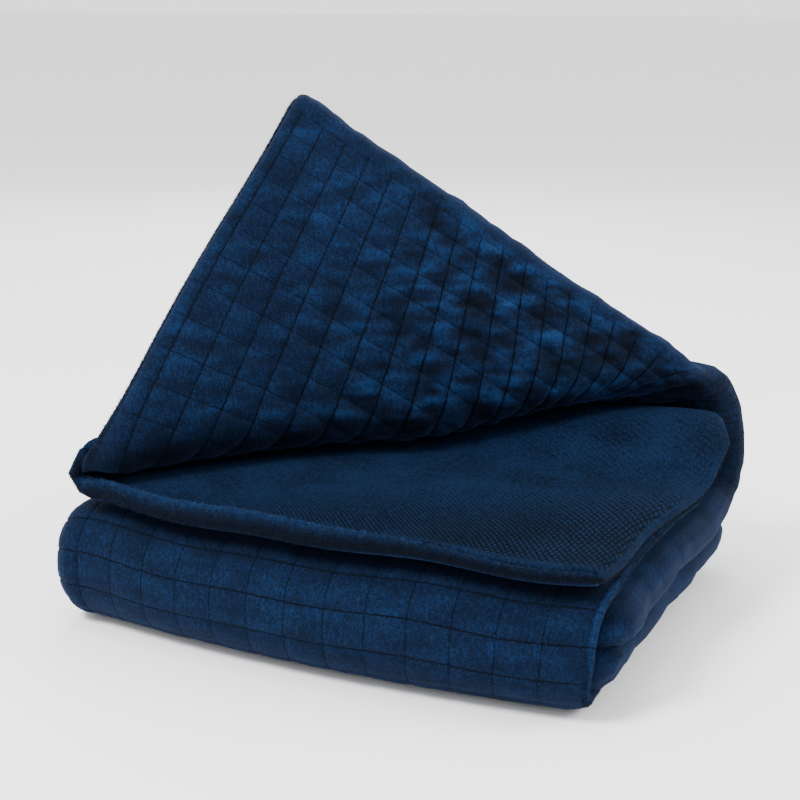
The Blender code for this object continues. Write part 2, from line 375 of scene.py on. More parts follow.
    def lower_points(self, page: Page, share: float, x: Array, height: float) -> Array:
        """Y and Z across a row of the bottom page, the front fold or the centre page.

        Args:
            page: the zone of the row.
            share: the row's share of the zone.
            x: places across.
            height: height above the cloth's outer face.

        Returns:
            Y and Z for each place.
        """
        radius = self.front_radius
        if page is Page.BOTTOM:
            y = np.full_like(x, self.bottom_end + (radius - self.bottom_end) * share)
            return np.stack([y, np.full_like(x, height)], 1)
        if page is Page.CENTRE:
            back = self.fold_start(self.loop(x))
            return np.stack([radius + (back - radius) * share,
                             np.full_like(x, 2 * radius - height)], 1)
        angle = math.pi * (share - 0.5)
        power = 2 / self.front_power
        out = math.cos(angle) ** power if share > 0 else 0.0
        up = math.copysign(abs(math.sin(angle)) ** power, angle)
        return np.stack([np.full_like(x, radius - (radius - height) * out),
                         np.full_like(x, radius + (radius - height) * up)], 1)

    def upper_line(self, x: float, height: float, loft: float = 0.0) -> tuple[Array, Array]:
        """Lines of the back fold and of the lying top page.

        Args:
            x: place across.
            height: height above the cloth's outer face.
            loft: more height, from the outside of the back fold on.

        Returns:
            The back fold's points and the top page's, as Y and Z.
        """
        loop = self.loop(x)
        centre_y = self.fold_start(loop)
        centre_z = 2 * self.front_radius + loop
        steps = self.line_points * self.along.steps(Page.BACK_FOLD)
        angles = np.linspace(-math.pi / 2, math.pi / 2, steps + 1)
        radius = loop + height + loft * ease(-math.pi / 2, -math.pi / 6, angles)
        power = np.where(angles < 0, 2 / self.back_power, 1.0)
        out = np.maximum(np.cos(angles), 0.0) ** power
        up = np.sign(angles) * np.abs(np.sin(angles)) ** power
        fold = np.stack([centre_y + radius * out, centre_z + radius * up], 1)
        steps = self.line_points * self.along.steps(Page.TOP)
        y = np.linspace(centre_y, self.top_front, steps + 1)[1:]
        low = 2 * self.front_radius + 2 * self.gap
        z = low + (centre_z + loop - low) * ease(self.rise_start, centre_y, y)
        normal = unit(np.stack([-np.gradient(z, y), np.ones_like(z)], 1))
        return fold, np.stack([y, z], 1) + normal * (height + loft)

    def running_mean(self, line: Array, distances: Array) -> Array:
        """Mean of a line's points over the bend's length either way of each distance."""
        offsets = np.linspace(-self.bend, self.bend, self.mean_points)
        return sum(at_distances(line, distances + o) for o in offsets) / self.mean_points

    def outer_strip(self, x: float) -> Array:
        """Back fold and top page of the outer third, at its middle line."""
        rows = np.vstack(self.upper_line(x, self.ply / 2))[::self.line_points]
        return np.column_stack([np.full(len(rows), x), rows])

    def upper_strip(self, x: float, edge_start: Array) -> Array:
        """Back fold and top page between the two upper plies, with the corner turned back.

        Args:
            x: place across.
            edge_start: left end of the plies' front edge.

        Returns:
            A point for each row.
        """
        fold, page = self.upper_line(x, self.seam, self.loft)
        flat = np.vstack([fold, page])
        flat = np.column_stack([np.full(len(flat), x), flat])
        places, distances = zip(*self.lift_line)
        leave = lengths(flat)[-1] - np.interp(x, places, distances)
        lying = at_distances(flat, np.linspace(0, leave, self.part_points))
        across = (x - self.left_x) / (self.right_x - self.left_x)
        start = self.edge_start
        share = (math.hypot(across, start) - start) / (math.hypot(1, start) - start)
        edge = edge_start + share * (np.array(self.apex) - edge_start)
        edge[0] -= self.front_swell * math.sin(math.pi * share)
        way = np.linspace(0, 1, self.part_points)[1:]
        standing = lying[-1] + way[:, None] * (edge - lying[-1])
        standing[:, 2] -= self.side_sag * across ** 2 * np.sin(math.pi * way)
        turned = np.vstack([lying, standing])
        turns = lengths(fold)[::self.line_points]
        top = np.linspace(turns[-1], lengths(turned)[-1], self.along.steps(Page.TOP) + 1)
        stations = np.concatenate([turns[:-1], top])
        back = 1 - ease(leave, leave + self.bend, stations)[:, None]
        error = at_distances(flat, stations) - self.running_mean(flat, stations)
        points = self.running_mean(turned, stations) + back * error
        rest = at_distances(flat, np.minimum(stations, lengths(flat)[-1]))
        away = np.linalg.norm(points - rest, axis=1)
        slack = waves(points[:, 0] + points[:, 1], points[:, 2], self.slack)
        return points + unit(np.array(self.slack_way)) * (
            slack * ease(*self.slack_from, away))[:, None]

    def softened(self, normals: Array) -> Array:
        """Average each normal with its neighbours, so that a tight bend offsets evenly.

        Args:
            normals: a grid of directions.

        Returns:
            The grid, softened.
        """
        for _ in range(self.smoothing):
            for axis in (0, 1):
                moved = np.moveaxis(normals, axis, 0).copy()
                moved[1:-1] = (moved[:-2] + 2 * moved[1:-1] + moved[2:]) / 4
                normals = np.moveaxis(moved, 0, axis)
        return unit(normals)

    def layer(self, shares: Array, is_outer: bool, height: float,
              upper: Array) -> tuple[Array, Array]:
        """One layer of the strip, from the bottom page to the top page.

        Args:
            shares: places across the layer, as shares of its way.
            is_outer: whether it is the outer third, which runs from its hem to the left fold.
            height: height above the cloth's outer face.
            upper: its points on the back fold and the top page.

        Returns:
            The layer's points, and their thickness directions.
        """
        rows = self.lower_rows()
        lower = np.zeros((len(shares), len(rows), 3))
        thick = np.zeros_like(lower)
        for j, (page, share, left, hem, right) in enumerate(rows):
            start, end = (hem, left) if is_outer else (left, right)
            x = start + (end - start) * shares
            near = self.lower_points(page, share, x, height - self.ply / 2)
            far = self.lower_points(page, share, x, height + self.ply / 2)
            lower[:, j, 0] = x
            lower[:, j, 1:] = (near + far) / 2
            thick[:, j, 1:] = (far - near) / self.ply
        grid = np.concatenate([lower, upper], axis=1)
        normals = unit(np.cross(np.gradient(grid, axis=1), np.gradient(grid, axis=0)))
        normals = self.softened(normals)[:, len(rows):] * (-1 if is_outer else 1)
        return grid, np.concatenate([thick, normals], axis=1)

    def surface(self) -> tuple[Array, Array]:
        """Middle surface of the whole cloth, with the direction of its quilted face.

        Returns:
            Points and directions, columns along the first axis and rows along the second.
        """
        steps = {third: self.across.steps(third) for third in Third}
        shares = np.linspace(0, 1, steps[Third.OUTER] + 1)
        upper = np.stack([self.outer_strip(x)
                          for x in self.hem_x + (self.left_x - self.hem_x) * shares])
        outer, outer_up = self.layer(shares, True, self.ply / 2, upper)
        shares = np.linspace(0, 1, steps[Third.MIDDLE] + 1)
        page = self.upper_line(self.left_x, self.seam, self.loft)[1]
        edge_start = np.array([self.left_x, *page[-1]])
        upper = np.stack([self.upper_strip(x, edge_start)
                          for x in self.left_x + (self.right_x - self.left_x) * shares])
        seam, seam_up = self.layer(shares, False, self.seam, upper)
        middle, inner = seam + seam_up * self.right_radius, seam - seam_up * self.right_radius
        points, sides = list(outer), list(-outer_up)
        centre = (outer[-1] + middle[0]) / 2
        reach = outer[-1] - centre
        radius = np.linalg.norm(reach, axis=-1, keepdims=True)
        for step in range(1, steps[Third.LEFT_FOLD]):
            angle = math.pi * step / steps[Third.LEFT_FOLD]
            way = math.cos(angle) * reach / radius + math.sin(angle) * np.array([-1.0, 0.0, 0.0])
            points.append(centre + way * radius)
            sides.append(unit(way))
        points += list(middle)
        sides += list(seam_up)
        out = unit(seam[-1] - seam[-2])
        for step in range(1, steps[Third.RIGHT_FOLD]):
            angle = math.pi * step / steps[Third.RIGHT_FOLD]
            way = unit(math.cos(angle) * seam_up[-1] + math.sin(angle) * out)
            points.append(seam[-1] + way * self.right_radius)
            sides.append(way)
        points += list(inner[::-1])
        sides += list(-seam_up[::-1])
        return np.stack(points), np.stack(sides)

    def settle(self, points: Array) -> Array:
        """Bow the front fold, let the cloth wander a little, and bring it to the part's origin.

        Args:
            points: points of the plain folding.

        Returns:
            The points, in the part's frame.
        """
        x, y, z = points[..., 0], points[..., 1], points[..., 2]
        free = ease(self.even_below, self.uneven_above, z)
        moved = points.copy()
        share = (2 * x - self.left_x - self.right_x) / (self.right_x - self.left_x)
        bow = np.clip(1 - share ** 2, 0, 1) * (1 - ease(0.0, self.bow_depth, y))
        moved[..., 1] -= self.front_bow * bow
        moved[..., 0] += free * waves(y, z, self.sways)
        moved[..., 2] += free * waves(x, y, self.heaves)
        moved[..., 2] = np.maximum(moved[..., 2], self.underside)
        return moved - np.array(self.middle)


# ---------------------------------------------------------------------------------------------
# The quilting
# ---------------------------------------------------------------------------------------------


@dataclass
class Quilting:
    """The sewn lines: where they run on the folded cloth, and the relief that they give it."""

    folding: Folding
    cell: float = 0.0300                # between two lines that run along the cloth
    row: float = 0.0270                 # between two lines that run across it
    groove: float = 0.0013              # half the width of a sewn groove
    across_depth: float = 0.0013        # of the lines that run across the cloth
    along_depth: float = 0.0007         # of the lines that run along it
    crown: float = 0.0021               # how far a cell's middle swells where nothing presses it
    unevenness: float = 0.35            # share by which the cells' swelling differs
    gather: float = 0.0007              # height of the gathers that the thread pulls up
    # Waves of the filling and of the gathers: height, turns in radians per cell, and start.
    fillings: Waves = (
        (0.6, 1.9, 3.1, 0.0), (0.5, -2.7, 1.3, 1.1), (0.4, 0.7, -4.9, 2.7),
    )
    gathers: Waves = (
        (0.6, 4.1, 2.9, 0.3), (0.5, 6.9, 1.7, 1.9), (0.5, 3.1, 5.3, 4.0), (0.3, 9.7, 4.1, 0.9),
    )
    lump: float = 0.0015                # how far the filling swells a fold's right edge
    notch: float = 0.011                # depth of the notch in the right side of the front fold
    notch_place: tuple[float, float] = (61.0, 1.7)     # its grid place along, and half its width
    # Angles of the lines on the front fold, and the number on the back fold.
    front_angles: tuple[float, ...] = (-82.0, -48.5, -14.2, 14.2, 48.5, 82.0)
    back_lines: int = 7
    top_first: float = 0.0241           # first line from the front edge, as a share of the top page
    top_pitch: float = 0.0555           # between lines on the top page, as a share of it
    # Lines of the inner third, from the right fold: the first, the pitch, and its growth.
    inner_lines: Triple = (0.0154, 0.0506, 0.0019)
    # The filling's lumps at the right fold: share, turns in radians per cell, and start.
    fold_lumps: Waves = (
        (0.35, 0.0, 2.1, 0.6), (0.22, 0.0, 4.3, 2.0), (0.12, 1.0, 7.1, 0.3),
    )
    fan: float = 0.862                  # the bias stretch that spreads the turned-back lines
    fan_limit: float = 1.30             # share of the third at which it stops growing
    fan_even: float = 2 / 3             # share of the top page that it spreads before it closes up
    most_lines: int = 20                # lines along the cloth in a third, at most
    hem_clear: float = 0.010            # none of them is nearer to the outer hem
    inner_end: float = 0.98             # or past this share of the inner third
    page_clear: float = 0.008           # no line across the cloth is nearer to a hidden page's end
    top_clear: float = 0.02             # or, as a share of the top page, to its start
    fold_line: float = 0.4              # share of the right fold at which its one line lies
    along_swell: float = 0.45           # share of a cell's swell that is left at a line along it
    row_power: float = 0.8              # below 1 a cell swells more steeply beside a line across
    flat_depth: float = 0.3             # share of a groove's depth that is left in a pressed cell
    lump_share: float = 0.5             # of the swell at the right fold that is even

    def column_lines(self) -> Array:
        """Lay out the lines that run along the cloth.

        Returns:
            Their grid places across it.
        """
        across, fold = self.folding.across, self.folding
        left, hem, _ = fold.widths[2]
        left += fold.left_reach
        width = hem - left
        outer = [across.place(Third.OUTER, (hem - x) / width)
                 for x in np.arange(self.most_lines, 0, -1) * self.cell
                 if left < x < hem - self.hem_clear]
        turn = math.pi * fold.left_radius
        used = self.cell - (left - self.cell * math.ceil(left / self.cell) + self.cell)
        places = [*outer, across.place(Third.LEFT_FOLD, (used % self.cell) / turn)]
        middle_width = fold.widths[2][2] - fold.right_reach - left
        first = used % self.cell + self.cell - turn
        first += self.cell if first < 0 else 0
        count = int((middle_width - first) / self.cell) + 1
        places += [across.place(Third.MIDDLE, (first + k * self.cell) / middle_width)
                   for k in range(count)]
        places.append(across.place(Third.RIGHT_FOLD, self.fold_line))
        first, pitch, growth = self.inner_lines
        shares = [first + pitch * k + growth * k * k for k in range(self.most_lines)]
        places += [across.place(Third.INNER, share) for share in shares if share < self.inner_end]
        return np.array(places)

    def fanned(self, columns: Array, rows: Array) -> Array:
        """Move grid rows to where the lines lie after the turned-back corner has pulled on them.

        Args:
            columns: grid places across.
            rows: grid places along, as if nothing pulled.

        Returns:
            The grid places along.
        """
        across, along = self.folding.across, self.folding.along
        share = (columns - across.start(Third.INNER)) / across.steps(Third.INNER)
        share = np.clip(share, 0.0, 1.0)
        share = share / (1 + (share / self.fan_limit) ** 4) ** 0.25
        spread = 1 + self.fan * share
        length, end = along.steps(Page.TOP), along.end()
        even = self.fan_even * length
        away = end - rows
        past = np.maximum(away * spread - even, 0.0)
        total = length * spread - even
        closing = (total / (length - even) - 1) / total
        place = np.where(past > 0, even + past / (1 + closing * past), away * spread)
        return np.where(away < length, end - place, rows)

    def row_lines(self) -> Array:
        """Lay out the lines that run across the cloth.

        Returns:
            Their grid places along it.
        """
        along, fold = self.folding.along, self.folding
        bottom = fold.bottom_end - fold.front_radius
        centre = fold.fold_start(fold.loop_left) - fold.front_radius
        first = self.row - math.radians(90 - self.front_angles[-1]) * fold.front_radius
        places = [along.place(Page.BOTTOM, 1 - d / bottom)
                  for d in np.arange(first, bottom - self.page_clear, self.row)[::-1]]
        places += [along.place(Page.FRONT_FOLD, (a + 90) / 180) for a in self.front_angles]
        places += [along.place(Page.CENTRE, d / centre)
                   for d in np.arange(first, centre - self.page_clear, self.row)]
        places += [along.place(Page.BACK_FOLD, (k + 0.5) / self.back_lines)
                   for k in range(self.back_lines)]
        shares = np.arange(1 - self.top_first, self.top_clear, -self.top_pitch)[::-1]
        places += [along.place(Page.TOP, share) for share in shares]
        return np.array(places)

    @staticmethod
    def cell_places(lines: Array, end: float, places: Array) -> Array:
        """Cell coordinate of grid places: whole numbers lie on the lines.

        Args:
            lines: grid places of the lines.
            end: last grid place.
            places: grid places to turn into cell coordinates.

        Returns:
            The cell coordinates.
        """
        before = -lines[0] / (lines[1] - lines[0])
        after = len(lines) - 1 + (end - lines[-1]) / (lines[-1] - lines[-2])
        known = np.concatenate([[0.0], lines, [end]])
        cells = np.concatenate([[before], np.arange(len(lines)), [after]])
        return np.interp(places, known, cells)

    @staticmethod
    def samples(lines: Array, end: float, fractions: Any) -> Array:
        """Grid places of the mesh's lines of points.

        Args:
            lines: grid places of the sewn lines.
            end: last grid place.
            fractions: a function from a grid place to the shares of a cell that get a point.

        Returns:
            The grid places, in order.
        """
        edges = np.concatenate([[0.0], lines, [end]])
        places = [start + (stop - start) * share
                  for start, stop in zip(edges, edges[1:])
                  for share in fractions((start + stop) / 2)]
        return np.array(places + [float(end)])

    def relief(self, columns: Array, rows: Array, fullness: Array, fold: Array,
               places: Array) -> Array:
        """Height of the quilted face over the cloth's mean face.

        Args:
            columns: cell coordinates across the cloth.
            rows: cell coordinates along it.
            fullness: 1 where a cell swells fully, 0 where it lies against a ply.
            fold: 1 at the middle of the right fold, 0 away from it.
            places: grid places along.

        Returns:
            The heights.
        """
        to_column = np.abs(columns - np.round(columns))
        to_row = np.abs(rows - np.round(rows))
        sunk = self.across_depth * np.exp(-(to_row * self.row / self.groove) ** 2)
        sunk += self.along_depth * np.exp(-(to_column * self.cell / self.groove) ** 2)
        pillow = self.along_swell + (1 - self.along_swell) * np.sin(math.pi * to_column)
        pillow *= np.sin(math.pi * to_row) ** self.row_power
        own = 1 + self.unevenness * waves(columns, rows, self.fillings)
        swell = self.crown * pillow * own
        swell += self.gather * waves(columns, rows, self.gathers)
        middle, width = self.notch_place
        lumps = self.lump * fold * (self.lump_share + waves(columns, rows, self.fold_lumps))
        lumps -= self.notch * fold * np.exp(-((places - middle) / width) ** 2)
        depth = self.flat_depth + (1 - self.flat_depth) * fullness
        return fullness * swell + lumps - depth * (1 - fold) * sunk


# ---------------------------------------------------------------------------------------------
# The cloth as a mesh
# ---------------------------------------------------------------------------------------------


class Face(Enum):
    """The cloth's two faces, as the indices of their materials."""

    PLUSH = 0
    KNIT = 1


@dataclass
class Blanket:
    """The whole cloth as one closed mesh, with the sewn lines' places for what is added to it."""

    folding: Folding = field(default_factory=Folding)
    rim: float = 0.010                 # distance over which the cloth thins towards an edge
    grid_step: float = 0.0062          # about the length of a grid step
    hem_edge: float = 0.62             # share of the thickness that is left at the outer hem
    inner_edge: float = 0.30           # and at the inner hem
    # The same at the front edge, at grid places across the cloth.
    front_edge: tuple[tuple[float, float], ...] = (
        (0, 0.55), (14, 0.70), (34, 1.0), (60, 0.95), (68, 0.70), (74, 0.58), (80, 0.50),
    )
    roll: float = 0.0034               # how far the front hem's roll stands over the knit face
    roll_span: tuple[int, int] = (8, 40)    # grid places across between which it grows
    # Grid places across between which its plush comes to show on top.
    roll_opens: tuple[float, float] = (10.0, 40.0)
    curl: float = 0.0036               # how far that hem curls up
    curl_length: float = 0.020
    # How far the top page's free hem lies outside the plain folding, at grid places along.
    spread: tuple[tuple[float, float], ...] = (
        (134, 0.0), (144, 0.006), (150, 0.018), (160, 0.018), (172, 0.0145), (190, 0.009),
        (210, 0.008),
    )
    tuck: float = 0.006                # how far the inner hem reaches into the left fold
    reach: float = 0.009               # how far that hem's front corner reaches forward
    rim_bulge: float = 0.0046          # how far the middle of an edge stands proud of its faces
    roll_bulge: float = 0.0078         # the same at the front hem's roll
    rim_steps: int = 6                 # round the edge, from face to face
    crease: tuple[float, float] = (0.112, 0.158)       # heights over which the crease's painted shade fades out
    painted_hem_highlight: float = 0.42            # painted highlight: how much lighter the outer hem is painted on the front fold
    fine: tuple[float, ...] = (0.0, 0.085, 0.34, 0.66, 0.915)
    coarse: tuple[float, ...] = (0.0, 0.14, 0.86)
    # Fullness of the cells: on the outer third's front fold, at the left and right folds, on the
    # middle third and at the inner third's front, over these grid steps before its end.
    front_fullness: float = 0.22
    left_fullness: float = 0.35
    right_fullness: float = 0.25
    middle_fullness: float = 0.5
    inner_fullness: float = 0.35
    inner_span: tuple[int, int] = (32, 8)
    # Grid steps over which the free hem spreads, the inner one is tucked, and its corner reaches.
    hem_steps: tuple[int, int, int] = (16, 5, 20)
    curl_span: tuple[int, int] = (4, 26)   # grid places over which the curl grows to its full size
    curl_start: float = 0.3                # and its share before them
    crease_shade: float = 0.40              # how much painted shade darkens the crease
    under_shade: float = 0.30               # painted shade on the front fold under the overhanging top page
    loop_shade: float = 0.25                # painted shade on the loose loop of the back fold
    # Painted shade on the outer third's front hem, and how much more at its right end.
    front_hem_shade: tuple[float, float] = (0.14, 0.16)
    # Painted light on an edge, as if lit from above: its tone where it stands upright, and how
    # much lighter it is painted where it faces upwards.
    edge_shade: tuple[float, float] = (0.18, 0.6)

    def __post_init__(self) -> None:
        """Lay the grid of points over the folded cloth."""
        self.quilting = Quilting(self.folding)
        self.centre, self.side = self.folding.surface()
        across, along = self.folding.across, self.folding.along
        self.column_lines = self.quilting.column_lines()
        self.row_lines = self.quilting.row_lines()
        hidden = (Page.BOTTOM, Page.CENTRE)
        spans = [(along.start(p), along.start(p) + along.steps(p)) for p in hidden]

        def row_fractions(place: float) -> tuple[float, ...]:
            """Shares of a cell that get a row: few on a page that is hidden."""
            return self.coarse if any(a < place < b for a, b in spans) else self.fine

        self.columns = self.quilting.samples(self.column_lines, across.end(), lambda _: self.fine)
        self.rows = self.quilting.samples(self.row_lines, along.end(), row_fractions)

    def read(self, values: Array, columns: Array, rows: Array) -> Array:
        """Read a grid of vectors between its points, along smooth curves.

        Args:
            values: the grid.
            columns: grid places across.
            rows: grid places along.

        Returns:
            A vector for each place.
        """
        def parts(places: Array, count: int) -> tuple[list[Array], list[Array]]:
            """Find what a smooth curve takes from the grid along one direction.

            Args:
                places: grid places.
                count: number of grid lines.

            Returns:
                The four nearest grid lines of each place, and their weights.
            """
            first = np.clip(np.floor(places).astype(int), 0, count - 2)
            t = places - first
            near = [np.clip(first + k, 0, count - 1) for k in (-1, 0, 1, 2)]
            weights = [(-t ** 3 + 2 * t ** 2 - t) / 2, (3 * t ** 3 - 5 * t ** 2 + 2) / 2,
                       (-3 * t ** 3 + 4 * t ** 2 + t) / 2, (t ** 3 - t ** 2) / 2]
            return near, weights

        column_near, column_weights = parts(columns, values.shape[0])
        row_near, row_weights = parts(rows, values.shape[1])
        total = np.zeros((*columns.shape, 3))
        for i, a in zip(column_near, column_weights):
            for j, b in zip(row_near, row_weights):
                total += values[i, j] * (a * b)[..., None]
        return total

    def fullness(self, columns: Array, rows: Array) -> Array:
        """How far the quilted cells swell: 1 in full, 0 pressed flat by another ply.

        Args:
            columns: grid places across.
            rows: grid places along.

        Returns:
            The fullness at each place.
        """
        across, along = self.folding.across, self.folding.along
        front = along.within(Page.FRONT_FOLD, rows, 3)
        outer = self.front_fullness * across.within(Third.OUTER, columns, 1) * front
        folds = self.left_fullness * across.within(Third.LEFT_FOLD, columns, 1.5)
        folds += self.right_fullness * across.within(Third.RIGHT_FOLD, columns, 1)
        top = along.past(Page.BACK_FOLD, -3, 3, rows)
        middle = self.middle_fullness * across.within(Third.MIDDLE, columns, 1) * top
        inner = across.within(Third.INNER, columns, 1) * top
        start, end = (along.end() - steps for steps in self.inner_span)
        inner *= self.inner_fullness + (1 - self.inner_fullness) * (1 - ease(start, end, rows))
        return np.clip(outer + folds + middle + inner, 0, 1)

    def face_points(self, columns: Array, rows: Array, face: Face, lift: float = 0.0) -> Array:
        """Points of one face of the cloth.

        Args:
            columns: grid places across.
            rows: grid places along, before the lines fan out.
            face: which face.
            lift: height over the face.

        Returns:
            The points, in the part's frame.
        """
        quilting, folding = self.quilting, self.folding
        across, along = folding.across, folding.along
        cell_u = quilting.cell_places(self.column_lines, across.end(), columns)
        cell_v = quilting.cell_places(self.row_lines, along.end(), rows)
        rows = quilting.fanned(columns, rows)
        centre = self.read(self.centre, columns, rows)
        side = unit(self.read(self.side, columns, rows))
        half = self.thickness(columns, rows)
        centre = centre + self.hem_shift(columns, rows, centre, side, half)
        height = half + lift
        if face is Face.KNIT:
            height += self.roll * self.front_roll(columns) * np.sqrt(1 - self.past_roll(rows) ** 2)
            return folding.settle(centre - side * height[..., None])
        inside = np.minimum.reduce([columns, across.end() - columns, rows, along.end() - rows])
        fold = self.right_fold(columns)
        relief = quilting.relief(cell_u, cell_v, self.fullness(columns, rows), fold, rows)
        height += ease(0.0, 1.5, inside) * relief
        return folding.settle(centre + side * height[..., None])

    def right_fold(self, columns: Array) -> Array:
        """1 round the right fold, where no sewn line shows, and 0 away from it."""
        across = self.folding.across
        after = across.past(Third.INNER, -0.5, 2.5, columns)
        return across.past(Third.RIGHT_FOLD, -6, -1, columns) * (1 - after)

    def front_roll(self, columns: Array) -> Array:
        """How full the front hem's roll is, at grid places across: it thins out to the right."""
        outer = 1 - self.folding.across.past(Third.LEFT_FOLD, -1, 6, columns)
        return outer * ease(*self.roll_span, columns)

    def past_roll(self, rows: Array) -> Array:
        """Distance from the front edge as a share of the roll's width, 1 past the roll."""
        width = self.quilting.top_first * self.folding.along.steps(Page.TOP)
        return np.clip((self.folding.along.end() - rows) / width, 0.0, 1.0)

    def hem_shift(self, columns: Array, rows: Array, centre: Array, side: Array,
                  half: Array) -> Array:
        """How the hems lie beside the plain folding.

        The top page's free hem lies further out, its front hem curls up, and the inner hem is
        tucked into the left fold, against the middle ply.

        Args:
            columns: grid places across.
            rows: grid places along.
            centre: points of the middle surface there.
            side: its directions.
            half: half the cloth's thickness.

        Returns:
            The shifts.
        """
        across, along = self.folding.across, self.folding.along
        shift = np.zeros_like(centre)
        away = across.end() - columns
        near, inner, corner = (np.clip(1 - steps / most, 0.0, 1.0)
                               for steps, most in zip((columns, away, away), self.hem_steps))
        places, outward = zip(*self.spread)
        shift[..., 0] += near ** 2 * np.interp(rows, places, outward)
        step = along.steps(Page.TOP) * self.curl_length / self.folding.back_y
        front = np.clip(1 - (along.end() - rows) / step, 0.0, 1.0)
        flat = 1 - across.past(Third.LEFT_FOLD, -2, 6, columns)
        curled = self.curl_start + (1 - self.curl_start) * ease(*self.curl_span, columns)
        shift[..., 2] += self.curl * flat * curled * front ** 2
        out = unit(centre - self.read(self.centre, columns - 2, rows))
        shift += self.tuck * (inner ** 2)[..., None] * out
        forward = unit(centre - self.read(self.centre, columns, rows - 2))
        shift += self.reach * ((corner * front) ** 2)[..., None] * forward
        upper = across.past(Third.MIDDLE, 0, 3, columns) * (front > 0)
        pressed = np.maximum(ease(0.0, 0.5, inner), upper) * (self.folding.ply / 2 - half)
        return shift - pressed[..., None] * side

    def thickness(self, columns: Array, rows: Array) -> Array:
        """Half the cloth's thickness, less near its edges.

        Args:
            columns: grid places across.
            rows: grid places along.

        Returns:
            Half the thickness at each place.
        """
        across, along = self.folding.across, self.folding.along
        total = np.full(np.broadcast(columns, rows).shape, self.folding.ply / 2)
        front = np.interp(columns, *zip(*self.front_edge))
        for away, left in zip((columns, across.end() - columns, rows, along.end() - rows),
                              (self.hem_edge, self.inner_edge, self.hem_edge, front)):
            share = np.clip(away * self.grid_step / self.rim, 0.0, 1.0)
            total *= left + (1 - left) * np.sqrt(1 - (1 - share) ** 2)
        return total

    def face_shade(self, columns: Array, rows: Array, heights: Array) -> Array:
        """Painted shade on the quilted face's pile: 0.5 is the plain tone, and less is painted
        shade.

        It is painted dark where shade falls: in the crease of the turned-back corner, under the
        overhanging top page, and on the loose loop at the right of the back fold.

        Args:
            columns: grid places across.
            rows: grid places along.
            heights: heights of the face's points.

        Returns:
            The tone at each place.
        """
        across, along = self.folding.across, self.folding.along
        inner = across.within(Third.INNER, columns, 2) * along.past(Page.TOP, 0, 6, rows)
        crease = inner * (1 - ease(*self.crease, heights))
        under = along.past(Page.CENTRE, -10, -2, rows) * (rows < along.start(Page.CENTRE) + 20)
        under = under * across.within(Third.OUTER, columns, 3)
        loop = along.within(Page.BACK_FOLD, rows, 4) * across.past(Third.RIGHT_FOLD, -6, 0, columns)
        return 0.5 - self.crease_shade * crease - self.under_shade * under - self.loop_shade * loop

    def hem_shadow(self, columns: Array) -> Array:
        """Painted shade on the outer third's front hem, most at its right end."""
        outer = 1 - self.folding.across.past(Third.LEFT_FOLD, -2, 2, columns)
        even, right = self.front_hem_shade
        return outer * (even + right * (1 - ease(*self.roll_span, columns)))

    def ring(self) -> Array:
        """Go once round the cloth's edge.

        Returns:
            The index pairs of its points.
        """
        last_i, last_j = len(self.columns) - 1, len(self.rows) - 1
        ring = [(i, 0) for i in range(last_i)] + [(last_i, j) for j in range(last_j)]
        ring += [(i, last_j) for i in range(last_i, 0, -1)] + [(0, j) for j in range(last_j, 0, -1)]
        return np.array(ring)

    def build(self) -> Object:
        """Make the cloth's closed mesh, with its cloth and cell coordinates.

        Returns:
            The blanket.
        """
        columns, rows = np.meshgrid(self.columns, self.rows, indexing="ij")
        plush = self.face_points(columns, rows, Face.PLUSH)
        knit = self.face_points(columns, rows, Face.KNIT)
        count, length = columns.shape
        knit_start = count * length
        index = np.arange(knit_start).reshape(count, length)
        squares = np.stack([index[:-1, :-1], index[:-1, 1:], index[1:, 1:], index[1:, :-1]], -1)
        squares = squares.reshape(-1, 4)
        faces = [squares, knit_start + squares[:, ::-1]]
        knit_kind = np.full((count - 1, length - 1), Face.KNIT.value)
        end = self.folding.along.end()
        open_share = ease(*self.roll_opens, self.columns[:-1, None])
        starts = end - (end - self.row_lines[-1]) * open_share
        rolled = (open_share > 0) & (self.rows[None, :-1] >= starts - 1e-6)
        knit_kind[rolled] = Face.PLUSH.value
        kinds = [np.full(len(squares), Face.PLUSH.value), knit_kind.ravel()]
        vertices = [plush.reshape(-1, 3), knit.reshape(-1, 3)]
        edge = self.ring()
        at, inward = tuple(edge.T), tuple(np.clip(edge, 1, (count - 2, length - 2)).T)
        previous = index[at]
        last = knit_start + previous
        middle, half = (plush[at] + knit[at]) / 2, (plush[at] - knit[at]) / 2
        away = unit(middle - (plush[inward] + knit[inward]) / 2)
        is_outer, is_front = at[0] == 0, at[1] == length - 1
        full = self.front_roll(self.columns[at[0]]) * is_front
        bulge = (self.rim_bulge + (self.roll_bulge - self.rim_bulge) * full)[:, None]
